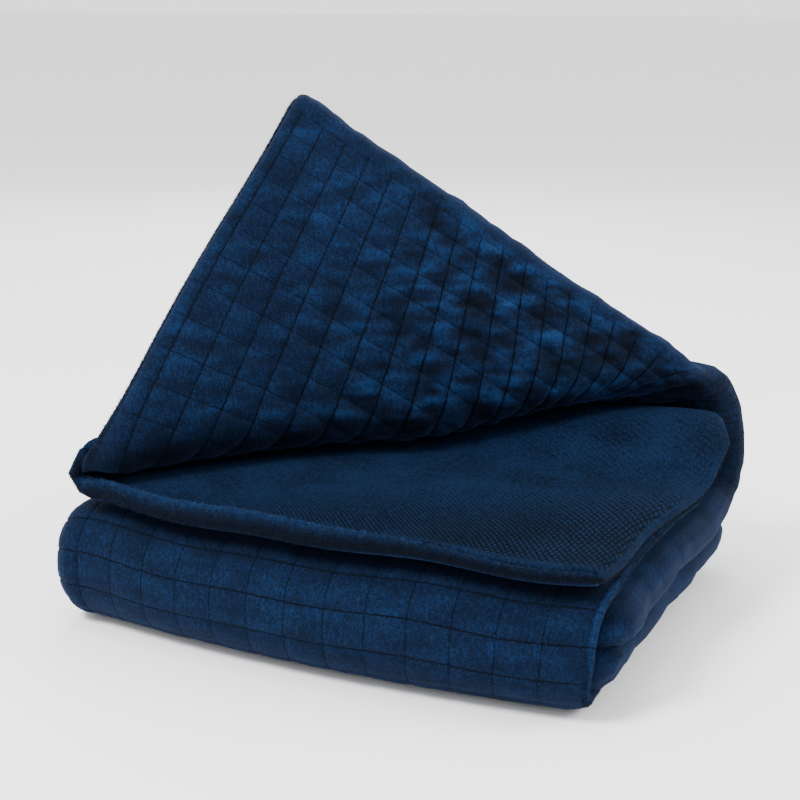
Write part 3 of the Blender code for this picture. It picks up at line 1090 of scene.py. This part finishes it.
        # Painted light round the edge: a painted highlight on the outer hem along the front fold,
        # painted shade on the front hem, and each ring painted lighter where it faces upwards.
        hem = self.folding.along.within(Page.FRONT_FOLD, self.rows[at[1]], 3)
        hem = self.painted_hem_highlight * hem * is_outer
        hem -= self.hem_shadow(self.columns[at[0]]) * is_front
        level, follow = self.edge_shade
        start = 2 * knit_start
        shades = []
        for step in range(1, self.rim_steps):
            angle = math.pi * step / self.rim_steps
            vertices.append(middle + math.cos(angle) * half + math.sin(angle) * bulge * away)
            upward = math.cos(angle) * unit(half)[:, 2] + math.sin(angle) * away[:, 2]
            shades.append(level + follow * upward + hem)
            current = start + np.arange(len(edge))
            faces.append(self.band_faces(previous, current))
            kinds.append(np.where(is_outer & (step > self.rim_steps / 2),
                                  Face.KNIT.value, Face.PLUSH.value))
            previous, start = current, start + len(edge)
        faces.append(self.band_faces(previous, last))
        kinds.append(np.where(is_outer, Face.KNIT.value, Face.PLUSH.value))
        mesh = bpy.data.meshes.new("quilted_blanket")
        mesh.from_pydata(np.concatenate(vertices).tolist(), [], np.concatenate(faces).tolist())
        mesh.polygons.foreach_set("material_index", np.concatenate(kinds).astype(np.int32))
        mesh.shade_smooth()
        # Painted shade at both faces' points: the quilted face's, and the front hem's on the knit
        # grid.
        shade = [self.face_shade(columns, rows, plush[..., 2]).ravel(),
                 0.5 - self.hem_shadow(columns).ravel()]
        self.write_coordinates(mesh, columns, rows, at, np.concatenate(shade + shades))
        return put("quilted_blanket", mesh)

    @staticmethod
    def band_faces(first: Array, second: Array) -> Array:
        """Squares between two rings of points."""
        return np.stack([first, np.roll(first, -1), np.roll(second, -1), second], -1)

    def write_coordinates(self, mesh: Mesh, columns: Array, rows: Array,
                          at: tuple[Array, Array], shade: Array) -> None:
        """Store what the finishes read.

        The attribute cells holds the cell coordinates, and 0 where no sewn line shows; cloth holds
        the place on the flat cloth, from its right hem and its front hem, and the fullness; rim
        marks the edges, and shade holds the pile's painted light and shade, with 0.5 as the
        plain tone.

        Args:
            mesh: the blanket's mesh.
            columns: grid places across, for one face.
            rows: grid places along.
            at: the edge ring's indices across and along.
            shade: the pile's painted light and shade at each of the mesh's points.
        """
        folding, quilting = self.folding, self.quilting
        cell_u = quilting.cell_places(self.column_lines, folding.across.end(), columns)
        cell_v = quilting.cell_places(self.row_lines, folding.along.end(), rows)
        faces = np.stack([cell_u, cell_v, 1 - self.right_fold(columns),
                          self.fullness(columns, rows)], -1)
        both = [faces.reshape(-1, 4)] * 2
        all_points = np.concatenate(both + [faces[at]] * (self.rim_steps - 1))
        cells, full = all_points[:, :3], all_points[:, 3]
        store(mesh, "cells", cells)
        store(mesh, "cloth", np.column_stack([
            cells[:, 0] * quilting.cell, (cells[:, 1] - cells[:, 1].max()) * quilting.row, full]))
        store(mesh, "rim", (np.arange(len(cells)) >= 2 * columns.size).astype(float))
        store(mesh, "shade", shade)


# ---------------------------------------------------------------------------------------------
# Stitches and pile
# ---------------------------------------------------------------------------------------------

SOCKETS = {float: "NodeSocketFloat", int: "NodeSocketInt",
           bpy.types.Material: "NodeSocketMaterial"}


def grow(base: Object, values: dict[str, Any], nodes: Callable[[Tree, Any], Node]) -> Object:
    """Run a Geometry Nodes tree on an object and keep the result as its plain mesh.

    Args:
        base: the object, whose name the tree takes.
        values: the tree's named inputs and their values, with a Material among them.
        nodes: adds the nodes that make the instances, from the tree and its inputs.

    Returns:
        The object, with its new mesh and no modifier.
    """
    tree = bpy.data.node_groups.new(base.name, "GeometryNodeTree")
    for side in ("INPUT", "OUTPUT"):
        tree.interface.new_socket("Geometry", in_out=side, socket_type="NodeSocketGeometry")
    for label, value in values.items():
        tree.interface.new_socket(label, in_out="INPUT", socket_type=SOCKETS[type(value)])
    given = add(tree, "NodeGroupInput").outputs
    real = add(tree, "GeometryNodeRealizeInstances", (nodes(tree, given),))
    dressed = add(tree, "GeometryNodeSetMaterial", {
        "Geometry": real, "Material": given["Material"]})
    add(tree, "NodeGroupOutput", (dressed,))
    modifier = base.modifiers.new(base.name, "NODES")
    modifier.node_group = tree
    for item in tree.interface.items_tree:
        if item.in_out == "INPUT" and item.name in values:
            modifier[item.identifier] = values[item.name]
    graph = bpy.context.evaluated_depsgraph_get()
    mesh = bpy.data.meshes.new_from_object(base.evaluated_get(graph))
    base.modifiers.clear()
    base.data = mesh
    return base


@dataclass
class Stitching:
    """The thread that shows in the sewn grooves."""

    blanket: Blanket
    pitch: float = 0.0040              # between two stitches
    length: float = 0.0032             # of the thread that shows of one
    radius: float = 0.00022            # of the thread
    above: float = 0.0001              # height over the groove's bottom
    open_from: float = 0.15            # fullness from which a groove lies open and is seen
    # Points of a line across and along the cloth, and how many are left off at either end.
    points_across: int = 1200
    points_along: int = 1100
    end_points: int = 8

    @staticmethod
    def nodes(tree: Tree, given: Any) -> Node:
        """Geometry Nodes: a short thread at each stitch along the lines.

        Args:
            tree: the tree.
            given: its inputs.

        Returns:
            The node that makes the instances.
        """
        curve = add(tree, "GeometryNodeMeshToCurve", {"Mesh": given["Geometry"]})
        spaced = add(tree, "GeometryNodeResampleCurve", {"Curve": curve, "Length": given["Pitch"]},
                     mode="LENGTH")
        turned = add(tree, "FunctionNodeAlignRotationToVector", {
            "Vector": add(tree, "GeometryNodeInputTangent")}, axis="Z")
        thread = add(tree, "GeometryNodeMeshUVSphere", {"Segments": 4, "Rings": 3, "Radius": 1.0})
        half = add(tree, "ShaderNodeMath", (given["Length"], 0.5), operation="MULTIPLY")
        size = add(tree, "ShaderNodeCombineXYZ", (given["Radius"], given["Radius"], half))
        return add(tree, "GeometryNodeInstanceOnPoints", {
            "Points": spaced, "Instance": thread, "Rotation": turned, "Scale": size})

    def lines(self) -> tuple[list[tuple[float, ...]], list[tuple[int, int]]]:
        """Trace the sewn lines where the quilted face lies open.

        Returns:
            Their points and edges.
        """
        blanket, ends = self.blanket, slice(self.end_points, -self.end_points)
        points: list[tuple[float, ...]] = []
        edges: list[tuple[int, int]] = []
        columns = np.linspace(0, blanket.folding.across.end(), self.points_across)[ends]
        rows = np.linspace(0, blanket.folding.along.end(), self.points_along)[ends]
        runs = [(columns, np.full_like(columns, line)) for line in blanket.row_lines]
        runs += [(np.full_like(rows, line), rows) for line in blanket.column_lines]
        for across, along in runs:
            shown = blanket.fullness(across, along) * (1 - blanket.right_fold(across))
            line = blanket.face_points(across, along, Face.PLUSH, self.above)
            was_open = False
            for point, is_open in zip(line, shown > self.open_from):
                if is_open and was_open:
                    edges.append((len(points) - 1, len(points)))
                if is_open:
                    points.append(tuple(point))
                was_open = is_open
        return points, edges

    def build(self, material: bpy.types.Material) -> Object:
        """Make all the stitches as one mesh.

        Args:
            material: the thread's finish.

        Returns:
            The stitches.
        """
        points, edges = self.lines()
        mesh = bpy.data.meshes.new("quilting_stitches")
        mesh.from_pydata(points, edges, [])
        return grow(put("quilting_stitches", mesh), {
            "Pitch": self.pitch, "Length": self.length, "Radius": self.radius,
            "Material": material}, self.nodes)


@dataclass
class Pile:
    """Tufts of the plush that stand out at the cloth's edges."""

    length: float = 0.0016
    radius: float = 0.00020
    density: float = 1150000.0         # tufts on each square metre
    lean: float = 0.75                 # how far a tuft may lean to each side
    shortest: float = 0.55             # share of the length and radius
    longest: float = 1.15
    seed: int = 7

    def nodes(self, tree: Tree, given: Any) -> Node:
        """Geometry Nodes: leaning three-sided tufts, scattered over the faces.

        Args:
            tree: the tree.
            given: its inputs.

        Returns:
            The node that makes the instances.
        """
        spots = add(tree, "GeometryNodeDistributePointsOnFaces", {
            "Mesh": given["Geometry"], "Density": given["Density"], "Seed": given["Seed"]})
        lean = add(tree, "FunctionNodeRandomValue", {
            0: (-self.lean,) * 3, 1: (self.lean,) * 3, "Seed": given["Seed"]},
            data_type="FLOAT_VECTOR")
        way = add(tree, "ShaderNodeVectorMath", (spots.outputs["Normal"], lean))
        turned = add(tree, "FunctionNodeAlignRotationToVector", {"Vector": way}, axis="Z")
        tuft = add(tree, "GeometryNodeMeshCone", {
            "Vertices": 3, "Radius Top": 0.0, "Radius Bottom": given["Radius"],
            "Depth": given["Length"]}, fill_type="NONE")
        size = add(tree, "FunctionNodeRandomValue", {
            2: self.shortest, 3: self.longest, "Seed": given["Seed"]}, data_type="FLOAT")
        return add(tree, "GeometryNodeInstanceOnPoints", {
            "Points": spots, "Instance": tuft, "Rotation": turned, "Scale": size.outputs[1]})

    @staticmethod
    def roots(cloth: Mesh) -> Mesh:
        """Copy the cloth's plush edge faces, which the tufts grow from, with their shade.

        Args:
            cloth: the blanket's mesh.

        Returns:
            A mesh of those faces.
        """
        rim, shade = np.zeros((2, len(cloth.vertices)), np.float32)
        cloth.attributes["rim"].data.foreach_get("value", rim)
        cloth.attributes["shade"].data.foreach_get("value", shade)
        seen: dict[int, int] = {}
        faces = []
        for polygon in cloth.polygons:
            is_plush = polygon.material_index == Face.PLUSH.value
            if is_plush and any(rim[k] > 0.5 for k in polygon.vertices):
                faces.append([seen.setdefault(k, len(seen)) for k in polygon.vertices])
        mesh = bpy.data.meshes.new("edge_pile")
        mesh.from_pydata([tuple(cloth.vertices[k].co) for k in seen], [], faces)
        store(mesh, "shade", shade[list(seen)])
        return mesh

    def build(self, cloth: Object, material: bpy.types.Material) -> Object:
        """Make the tufts as one mesh.

        Args:
            cloth: the blanket.
            material: the tufts' finish.

        Returns:
            The tufts.
        """
        return grow(put("edge_pile", self.roots(cloth.data)), {
            "Length": self.length, "Radius": self.radius, "Density": self.density,
            "Seed": self.seed, "Material": material}, self.nodes)


# ---------------------------------------------------------------------------------------------
# Finishes
# ---------------------------------------------------------------------------------------------


@dataclass(frozen=True)
class Pattern:
    """A noise that makes a finish uneven, with its shares of the tone and of the relief."""

    turns: Triple                       # on a metre along X, Y and Z
    detail: float
    roughness: float = 0.5
    distortion: float = 0.0
    tone: float = 0.0
    relief: float = 0.0
    attribute: str = ""                # where it is read, if not at the place in the part's frame


class Finish:
    """A finish of the blanket: each kind has a name and patterns, and a surface."""

    name: str

    def surface(self, tree: Tree, place: Socket, noises: dict[str, Node]) -> dict[str, Any]:
        """Add the finish's nodes.

        Args:
            tree: the material's tree.
            place: the place in the part's frame.
            noises: the finish's patterns, by name.

        Returns:
            The shader's inputs.
        """
        raise NotImplementedError

    def mixed(self, tree: Tree, noises: dict[str, Node], kind: str, base: Any) -> Any:
        """Add the patterns' shares of the tone or of the relief to a base.

        Args:
            tree: the material's tree.
            noises: the finish's patterns, by name.
            kind: tone or relief.
            base: what the shares are added to, a node or a number.

        Returns:
            The node that gives the sum.
        """
        for label, noise in noises.items():
            share = getattr(getattr(self, label), kind)
            if share:
                base = add(tree, "ShaderNodeMath", (noise, share, base), operation="MULTIPLY_ADD")
        return base

    def material(self) -> bpy.types.Material:
        """Make the finish's material.

        Returns:
            The material.
        """
        material = bpy.data.materials.new(self.name)
        material.use_nodes = True
        tree = material.node_tree
        tree.nodes.clear()
        place = add(tree, "ShaderNodeTexCoord").outputs["Object"]
        noises = {}
        for label, pattern in vars(self).items():
            if not isinstance(pattern, Pattern):
                continue
            spot = place
            if pattern.attribute:
                spot = add(tree, "ShaderNodeAttribute",
                           attribute_name=pattern.attribute).outputs["Vector"]
            turned = add(tree, "ShaderNodeVectorMath", (spot, pattern.turns), operation="MULTIPLY")
            noises[label] = add(tree, "ShaderNodeTexNoise", {
                "Vector": turned, "Scale": 1.0, "Detail": pattern.detail,
                "Roughness": pattern.roughness, "Distortion": pattern.distortion})
        shader = add(tree, "ShaderNodeBsdfPrincipled", {
            "Metallic": 0.0, **self.surface(tree, place, noises)})
        add(tree, "ShaderNodeOutputMaterial", {"Surface": shader})
        return material


@dataclass(frozen=True)
class Plush(Finish):
    """Short knitted polyester plush, dyed navy: dull pile that catches light on its tips."""

    name: str = "navy_plush"
    # From looking into the pile, through pile brushed towards the light, to a painted highlight
    # on a gather.
    tones: Tones = ((0.30, "#01040d"), (0.50, "#041024"), (0.70, "#0a2242"), (0.98, "#1d3558"))
    thread_shadow: str = "#010409"
    sheen_tint: str = "#6486c6"
    # Brushed patches, about 3 cm wide.
    patches: Pattern = Pattern((38.0, 38.0, 38.0), 3.0, 0.6, 0.5, tone=0.12)
    # The pile lies in upright streaks, 2 mm wide and 7 mm long.
    streaks: Pattern = Pattern((430.0, 430.0, 140.0), 3.0, 0.65, tone=0.28, relief=0.8)
    # Fibres, 1.4 mm apart; real ones are finer, and drawn this coarse to show.
    fibres: Pattern = Pattern((620.0, 620.0, 620.0), 3.0, 0.8, tone=0.60, relief=1.0)
    # Gathers, 3 cm wide and 1 cm tall, where the cells swell; their tone is painted highlight and
    # shade.
    gathers: Pattern = Pattern((34.0, 34.0, 92.0), 1.0, 0.4, tone=0.85, relief=7.0)
    # Creases, some 6 mm apart on the cloth, where the top page's plies turn tightly round the
    # right fold. They lie between these heights; the corner that stands over them is smooth.
    wrinkles: Pattern = Pattern((30.0, 170.0, 0.0), 2.0, distortion=0.6, tone=0.45, relief=5.0,
                                attribute="cloth")
    creased_from: tuple[float, float] = (0.085, 0.110)
    creased_to: tuple[float, float] = (0.150, 0.195)
    # The sewn lines wander a little from stitch to stitch.
    jitter: Pattern = Pattern((330.0, 330.0, 330.0), 1.0)
    wander: float = 0.07               # of a cell, from side to side
    row_width: float = 0.030           # half width of a line across the cloth, as a share of a cell
    column_width: float = 0.017        # the same of a line along it
    # How dark the painted shadow of a line along the cloth is: where its cells are flat, and how
    # much more where full.
    column_dark: tuple[float, float] = (0.5, 0.55)
    shading: float = 0.42              # how much the painted light and shade change the tone

    def surface(self, tree: Tree, place: Socket, noises: dict[str, Node]) -> dict[str, Any]:
        """Add the nodes of the quilted face.

        Args:
            tree: the material's tree.
            place: the place in the part's frame.
            noises: the finish's patterns, by name.

        Returns:
            The shader's inputs.
        """
        cells, cloth = (add(tree, "ShaderNodeAttribute", attribute_name=name).outputs["Vector"]
                        for name in ("cells", "cloth"))
        across, along, open_face = add(tree, "ShaderNodeSeparateXYZ", (cells,)).outputs
        fullness = add(tree, "ShaderNodeSeparateXYZ", (cloth,)).outputs["Z"]
        height = add(tree, "ShaderNodeSeparateXYZ", (place,)).outputs["Z"]
        above = add(tree, "ShaderNodeMapRange", (height, *self.creased_from))
        below = add(tree, "ShaderNodeMapRange", (height, *self.creased_to, 1.0, 0.0))
        folded = add(tree, "ShaderNodeMath", (1.0, open_face), operation="SUBTRACT")
        for label, shares in (("gathers", (fullness,)), ("wrinkles", (above, below, folded))):
            shown = add(tree, "ShaderNodeMath", (noises[label], 0.5), operation="SUBTRACT")
            for share in shares:
                shown = add(tree, "ShaderNodeMath", (shown, share), operation="MULTIPLY")
            noises[label] = shown
        # Painted light and shade: an edge is painted lighter on its upper side, and the crease
        # darker.
        shade = add(tree, "ShaderNodeAttribute", attribute_name="shade").outputs["Fac"]
        shaded = add(tree, "ShaderNodeMath", (shade, self.shading, -self.shading / 2),
                     operation="MULTIPLY_ADD")
        lit = self.mixed(tree, noises, "tone", shaded)
        pile = add(tree, "ShaderNodeValToRGB", (lit,), stops=self.tones)
        # Sewn lines: 2 mm wide across the cloth, 1 mm along it, with broken edges; their dark is
        # painted shadow in the grooves, where the pile also parts.
        near_row = self.line(tree, along, self.row_width, noises)
        near_column = self.line(tree, across, self.column_width, noises)
        flat, full = self.column_dark
        pull = add(tree, "ShaderNodeMath", (fullness, full, flat), operation="MULTIPLY_ADD")
        faint = add(tree, "ShaderNodeMath", (near_column, pull), operation="MULTIPLY")
        both = add(tree, "ShaderNodeMath", (near_row, faint), operation="MAXIMUM")
        dark = add(tree, "ShaderNodeMath", (both, open_face), operation="MULTIPLY")
        colour = add(tree, "ShaderNodeMix", {
            "Factor": dark, 6: pile, 7: linear(self.thread_shadow)}, data_type="RGBA")
        bump = add(tree, "ShaderNodeBump", {
            "Strength": 0.8, "Distance": 0.0008,
            "Height": self.mixed(tree, noises, "relief", 0.0)})
        return {"Base Color": colour.outputs[2], "Roughness": 0.9, "Specular IOR Level": 0.06,
                "Sheen Weight": 0.11, "Sheen Roughness": 0.36,
                "Sheen Tint": linear(self.sheen_tint), "Normal": bump}

    def line(self, tree: Tree, coordinate: Socket, width: float, noises: dict[str, Node]) -> Node:
        """Painted shadow of a sewn line, 1 on it and 0 beside it, with a ragged edge.

        Args:
            tree: the material's tree.
            coordinate: the cell coordinate across the line.
            width: the line's half width, as a share of a cell.
            noises: the finish's patterns, by name.

        Returns:
            The node that gives the darkness.
        """
        moved = add(tree, "ShaderNodeMath", (noises["jitter"], self.wander, coordinate),
                    operation="MULTIPLY_ADD")
        centred = add(tree, "ShaderNodeMath", (moved, self.wander / 2), operation="SUBTRACT")
        away = add(tree, "ShaderNodeMath", (centred, 0.5), operation="PINGPONG")
        ragged = add(tree, "ShaderNodeMath", (noises["fibres"], width * 1.5, away),
                     operation="MULTIPLY_ADD")
        return add(tree, "ShaderNodeMapRange", (ragged, width * 0.8, width * 2.2, 1.0, 0.0),
                   interpolation_type="SMOOTHSTEP")


@dataclass(frozen=True)
class Knit(Finish):
    """Fine warp-knitted polyester in the same dye: slanted ribs that cross, duller than plush."""

    name: str = "navy_knit"
    tones: Tones = ((0.36, "#07162b"), (1.00, "#000206"))      # the yarn, and between yarns
    sheen_tint: str = "#5f83bd"
    # Brushed fuzz, drawn 1.6 mm wide and 5 mm long, and soft patches some 4 cm wide.
    fuzz: Pattern = Pattern((620.0, 200.0, 620.0), 3.0, 0.7, tone=1.45)
    soft: Pattern = Pattern((26.0, 26.0, 26.0), 2.0, tone=0.7)
    base_tone: float = -0.58           # what the tone starts from
    drift: Pattern = Pattern((60.0, 60.0, 60.0), 1.0)
    drift_by: float = 0.0016           # how far the ribs drift from straight
    # Two sets of grooves between the yarns: turns on a metre of cloth across and along it, and
    # how dark they are. The yarns are 3.5 mm apart, coarser than real ones, so that they show.
    ribs: tuple[Triple, ...] = ((245.0, 145.0, 1.0), (275.0, -42.0, 0.8))
    # The cloth is skewed, so the grooves turn from right to left: the factor at its right hem, and
    # how much it grows on a metre.
    skew: tuple[float, float] = (0.67, 1.95)
    groove: tuple[float, float] = (0.05, 0.78)      # from its dark middle to the yarn's top
    net_tone: float = 0.80
    net_relief: float = -1.4
    # The net gives way to the brushed face along a line that slants back to the right and that
    # the soft patches make uneven: its ends, and the share of the net that is left.
    slant: float = -0.5
    unevenness: float = 0.20
    brushed: tuple[float, ...] = (-0.075, 0.01, 1.0, 0.24)
    front_hem: tuple[float, ...] = (-0.0145, -0.0085, 1.0, 0.2)     # the same at the front hem
    rim_loss: float = 0.85             # share of the net that is lost on an edge

    def surface(self, tree: Tree, place: Socket, noises: dict[str, Node]) -> dict[str, Any]:
        """Add the nodes of the knit face.

        Args:
            tree: the material's tree.
            place: the place in the part's frame.
            noises: the finish's patterns, by name.

        Returns:
            The shader's inputs.
        """
        cloth = add(tree, "ShaderNodeAttribute", attribute_name="cloth").outputs["Vector"]
        shift = add(tree, "ShaderNodeVectorMath", (
            noises["drift"].outputs["Color"], (self.drift_by, self.drift_by, 0.0)),
            operation="MULTIPLY")
        moved = add(tree, "ShaderNodeVectorMath", (cloth, shift))
        across, along, _ = add(tree, "ShaderNodeSeparateXYZ", (moved,)).outputs
        start, growth = self.skew
        skew = add(tree, "ShaderNodeMath", (across, growth, start), operation="MULTIPLY_ADD")
        skewed = add(tree, "ShaderNodeMath", (along, skew), operation="MULTIPLY")
        grooves = []
        for per_across, per_along, share in self.ribs:
            angle = add(tree, "ShaderNodeMath", (skewed, per_along * math.pi), operation="MULTIPLY")
            angle = add(tree, "ShaderNodeMath", (across, per_across * math.pi, angle),
                        operation="MULTIPLY_ADD")
            for operation in ("SINE", "ABSOLUTE"):
                angle = add(tree, "ShaderNodeMath", (angle,), operation=operation)
            grooves.append(add(tree, "ShaderNodeMapRange", (angle, *self.groove, share, 0.0)))
        shown = add(tree, "ShaderNodeMath", grooves, operation="MAXIMUM")
        # The net shows best towards the front right corner; the face is brushed smooth behind it.
        # It fades out where the face turns over its hems.
        x, y, _ = add(tree, "ShaderNodeSeparateXYZ", (place,)).outputs
        edge = add(tree, "ShaderNodeMath", (x, self.slant, y), operation="MULTIPLY_ADD")
        edge = add(tree, "ShaderNodeMath", (noises["soft"], self.unevenness, edge),
                   operation="MULTIPLY_ADD")
        rim = add(tree, "ShaderNodeAttribute", attribute_name="rim").outputs["Fac"]
        for share in (add(tree, "ShaderNodeMapRange", (edge, *self.brushed)),
                      add(tree, "ShaderNodeMath", (rim, -self.rim_loss, 1.0),
                          operation="MULTIPLY_ADD"),
                      add(tree, "ShaderNodeMapRange", (along, *self.front_hem))):
            shown = add(tree, "ShaderNodeMath", (shown, share), operation="MULTIPLY")
        worn = self.mixed(tree, noises, "tone", self.base_tone)
        dark = add(tree, "ShaderNodeMath", (shown, self.net_tone, worn), operation="MULTIPLY_ADD")
        colour = add(tree, "ShaderNodeValToRGB", (dark,), stops=self.tones)
        relief = add(tree, "ShaderNodeMath", (shown, self.net_relief, noises["fuzz"]),
                     operation="MULTIPLY_ADD")
        bump = add(tree, "ShaderNodeBump", {
            "Strength": 0.5, "Distance": 0.0006, "Height": relief})
        return {"Base Color": colour, "Roughness": 0.85, "Specular IOR Level": 0.03,
                "Sheen Weight": 0.02, "Sheen Roughness": 0.45,
                "Sheen Tint": linear(self.sheen_tint), "Normal": bump}


@dataclass(frozen=True)
class Thread(Finish):
    """Spun polyester sewing thread, dyed like the cloth, half hidden by the pile around it."""

    name: str = "navy_thread"
    tones: Tones = ((0.0, "#01040b"), (1.0, "#030d1e"))
    twist: Pattern = Pattern((2500.0, 2500.0, 2500.0), 1.0)

    def surface(self, tree: Tree, place: Socket, noises: dict[str, Node]) -> dict[str, Any]:
        """Add the thread's nodes.

        Args:
            tree: the material's tree.
            place: not used.
            noises: the finish's patterns, by name.

        Returns:
            The shader's inputs.
        """
        colour = add(tree, "ShaderNodeValToRGB", (noises["twist"],), stops=self.tones)
        return {"Base Color": colour, "Roughness": 0.8, "Specular IOR Level": 0.05}


@dataclass(frozen=True)
class TuftTips(Finish):
    """The plush seen side on at an edge: tufts in darker and lighter clumps, with painted light and
    shade.
    """

    name: str = "navy_tufts"
    tones: Tones = ((0.35, "#010612"), (0.70, "#1a304f"))
    sheen_tint: str = "#7fa0cc"
    clumps: Pattern = Pattern((300.0, 300.0, 300.0), 2.0, tone=1.0)    # 3 mm wide
    base_tone: float = -0.26           # what the tone starts from
    shading: float = 0.45              # how much the edge's painted light and shade change it

    def surface(self, tree: Tree, place: Socket, noises: dict[str, Node]) -> dict[str, Any]:
        """Add the tufts' nodes.

        Args:
            tree: the material's tree.
            place: not used.
            noises: the finish's patterns, by name.

        Returns:
            The shader's inputs.
        """
        # Painted light: the upper side of an edge is lighter.
        shade = add(tree, "ShaderNodeAttribute", attribute_name="shade").outputs["Fac"]
        less = self.mixed(tree, noises, "tone", self.base_tone)
        lit = add(tree, "ShaderNodeMath", (shade, self.shading, less), operation="MULTIPLY_ADD")
        colour = add(tree, "ShaderNodeValToRGB", (lit,), stops=self.tones)
        return {"Base Color": colour, "Roughness": 0.8, "Specular IOR Level": 0.06,
                "Sheen Weight": 0.2, "Sheen Roughness": 0.4,
                "Sheen Tint": linear(self.sheen_tint)}


# ---------------------------------------------------------------------------------------------
# The studio
# ---------------------------------------------------------------------------------------------


@dataclass(frozen=True)
class Lamp:
    """A soft round light."""

    name: str
    place: Triple
    aim: Triple
    size: float
    watts: float

    def build(self) -> None:
        """Make the light."""
        data = bpy.data.lights.new(self.name, "AREA")
        data.shape = "DISK"
        data.size, data.energy = self.size, self.watts
        light = put(self.name, data)
        light.location = self.place
        way = Vector(self.aim) - Vector(self.place)
        light.rotation_euler = way.to_track_quat("-Z", "Y").to_euler()


@dataclass
class Studio:
    """Pale floor, soft lights and the camera at the photograph's angle."""

    camera_place: Triple = (0.5008, -1.0564, 0.4528)
    azimuth: float = 25.94             # degrees that the camera stands to the right of the front
    elevation: float = 14.28           # degrees that it looks down
    lens_mm: float = 72.12
    sensor_mm: float = 36.0
    floor_size: float = 60.0
    floor_drop: float = 0.0004         # the floor lies this far under the blanket
    floor_colour: str = "#f1f1f2"
    sky_colour: str = "#f4f5f7"
    sky_strength: float = 2.0
    lamps: tuple[Lamp, ...] = (
        Lamp("key", (-0.6, -1.5, 2.0), (0.0, 0.0, 0.15), 0.8, 105.0),
        Lamp("side", (1.9, 0.7, 1.2), (0.0, 0.0, 0.12), 1.0, 45.0),
        Lamp("top", (0.0, 0.1, 2.4), (0.0, 0.0, 0.0), 1.2, 20.0),
        Lamp("back", (-1.2, 1.8, 1.4), (0.0, 0.0, 0.15), 1.2, 25.0),
    )

    def build(self) -> None:
        """Make the floor, the world, the lights and the camera."""
        self.floor()
        world = bpy.data.worlds.new("studio")
        world.use_nodes = True
        background = world.node_tree.nodes["Background"].inputs
        background["Color"].default_value = linear(self.sky_colour)
        background["Strength"].default_value = self.sky_strength
        bpy.context.scene.world = world
        for lamp in self.lamps:
            lamp.build()
        self.camera()

    def floor(self) -> None:
        """Make the pale floor."""
        half = self.floor_size / 2
        mesh = bpy.data.meshes.new("floor")
        mesh.from_pydata([(-half, -half, 0), (half, -half, 0), (half, half, 0), (-half, half, 0)],
                         [], [(0, 1, 2, 3)])
        material = bpy.data.materials.new("pale_floor")
        material.use_nodes = True
        shader = material.node_tree.nodes["Principled BSDF"].inputs
        shader["Base Color"].default_value = linear(self.floor_colour)
        shader["Roughness"].default_value = 0.9
        shader["Specular IOR Level"].default_value = 0.1
        mesh.materials.append(material)
        floor = put("floor", mesh)
        floor.location.z = -self.floor_drop

    def camera(self) -> None:
        """Make the camera."""
        data = bpy.data.cameras.new("camera")
        data.sensor_width, data.lens = self.sensor_mm, self.lens_mm
        a, e = math.radians(self.azimuth), math.radians(self.elevation)
        back = Vector((math.sin(a) * math.cos(e), -math.cos(a) * math.cos(e), math.sin(e)))
        turned = (-back).to_track_quat("-Z", "Y").to_matrix().to_4x4()
        camera = put("camera", data)
        camera.matrix_world = Matrix.Translation(self.camera_place) @ turned
        bpy.context.scene.camera = camera


def declare(piece: Object) -> None:
    """Let a piece ride on the part's body, and log its number of triangles.

    Args:
        piece: the finished piece.
    """
    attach(piece, BODY)
    triangles = sum(len(polygon.vertices) - 2 for polygon in piece.data.polygons)
    LOG.info("%s: %d triangles", piece.name, triangles)


def main() -> None:
    """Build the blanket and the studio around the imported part."""
    logging.basicConfig(level=logging.INFO, format="%(name)s %(message)s")
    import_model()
    blanket = Blanket()
    cloth = blanket.build()
    cloth.data.materials.append(Plush().material())
    cloth.data.materials.append(Knit().material())
    stitches = Stitching(blanket).build(Thread().material())
    tufts = Pile().build(cloth, TuftTips().material())
    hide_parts(NODE)
    for piece in (cloth, stitches, tufts):
        declare(piece)
    Studio().build()


if __name__ == "__main__":
    main()
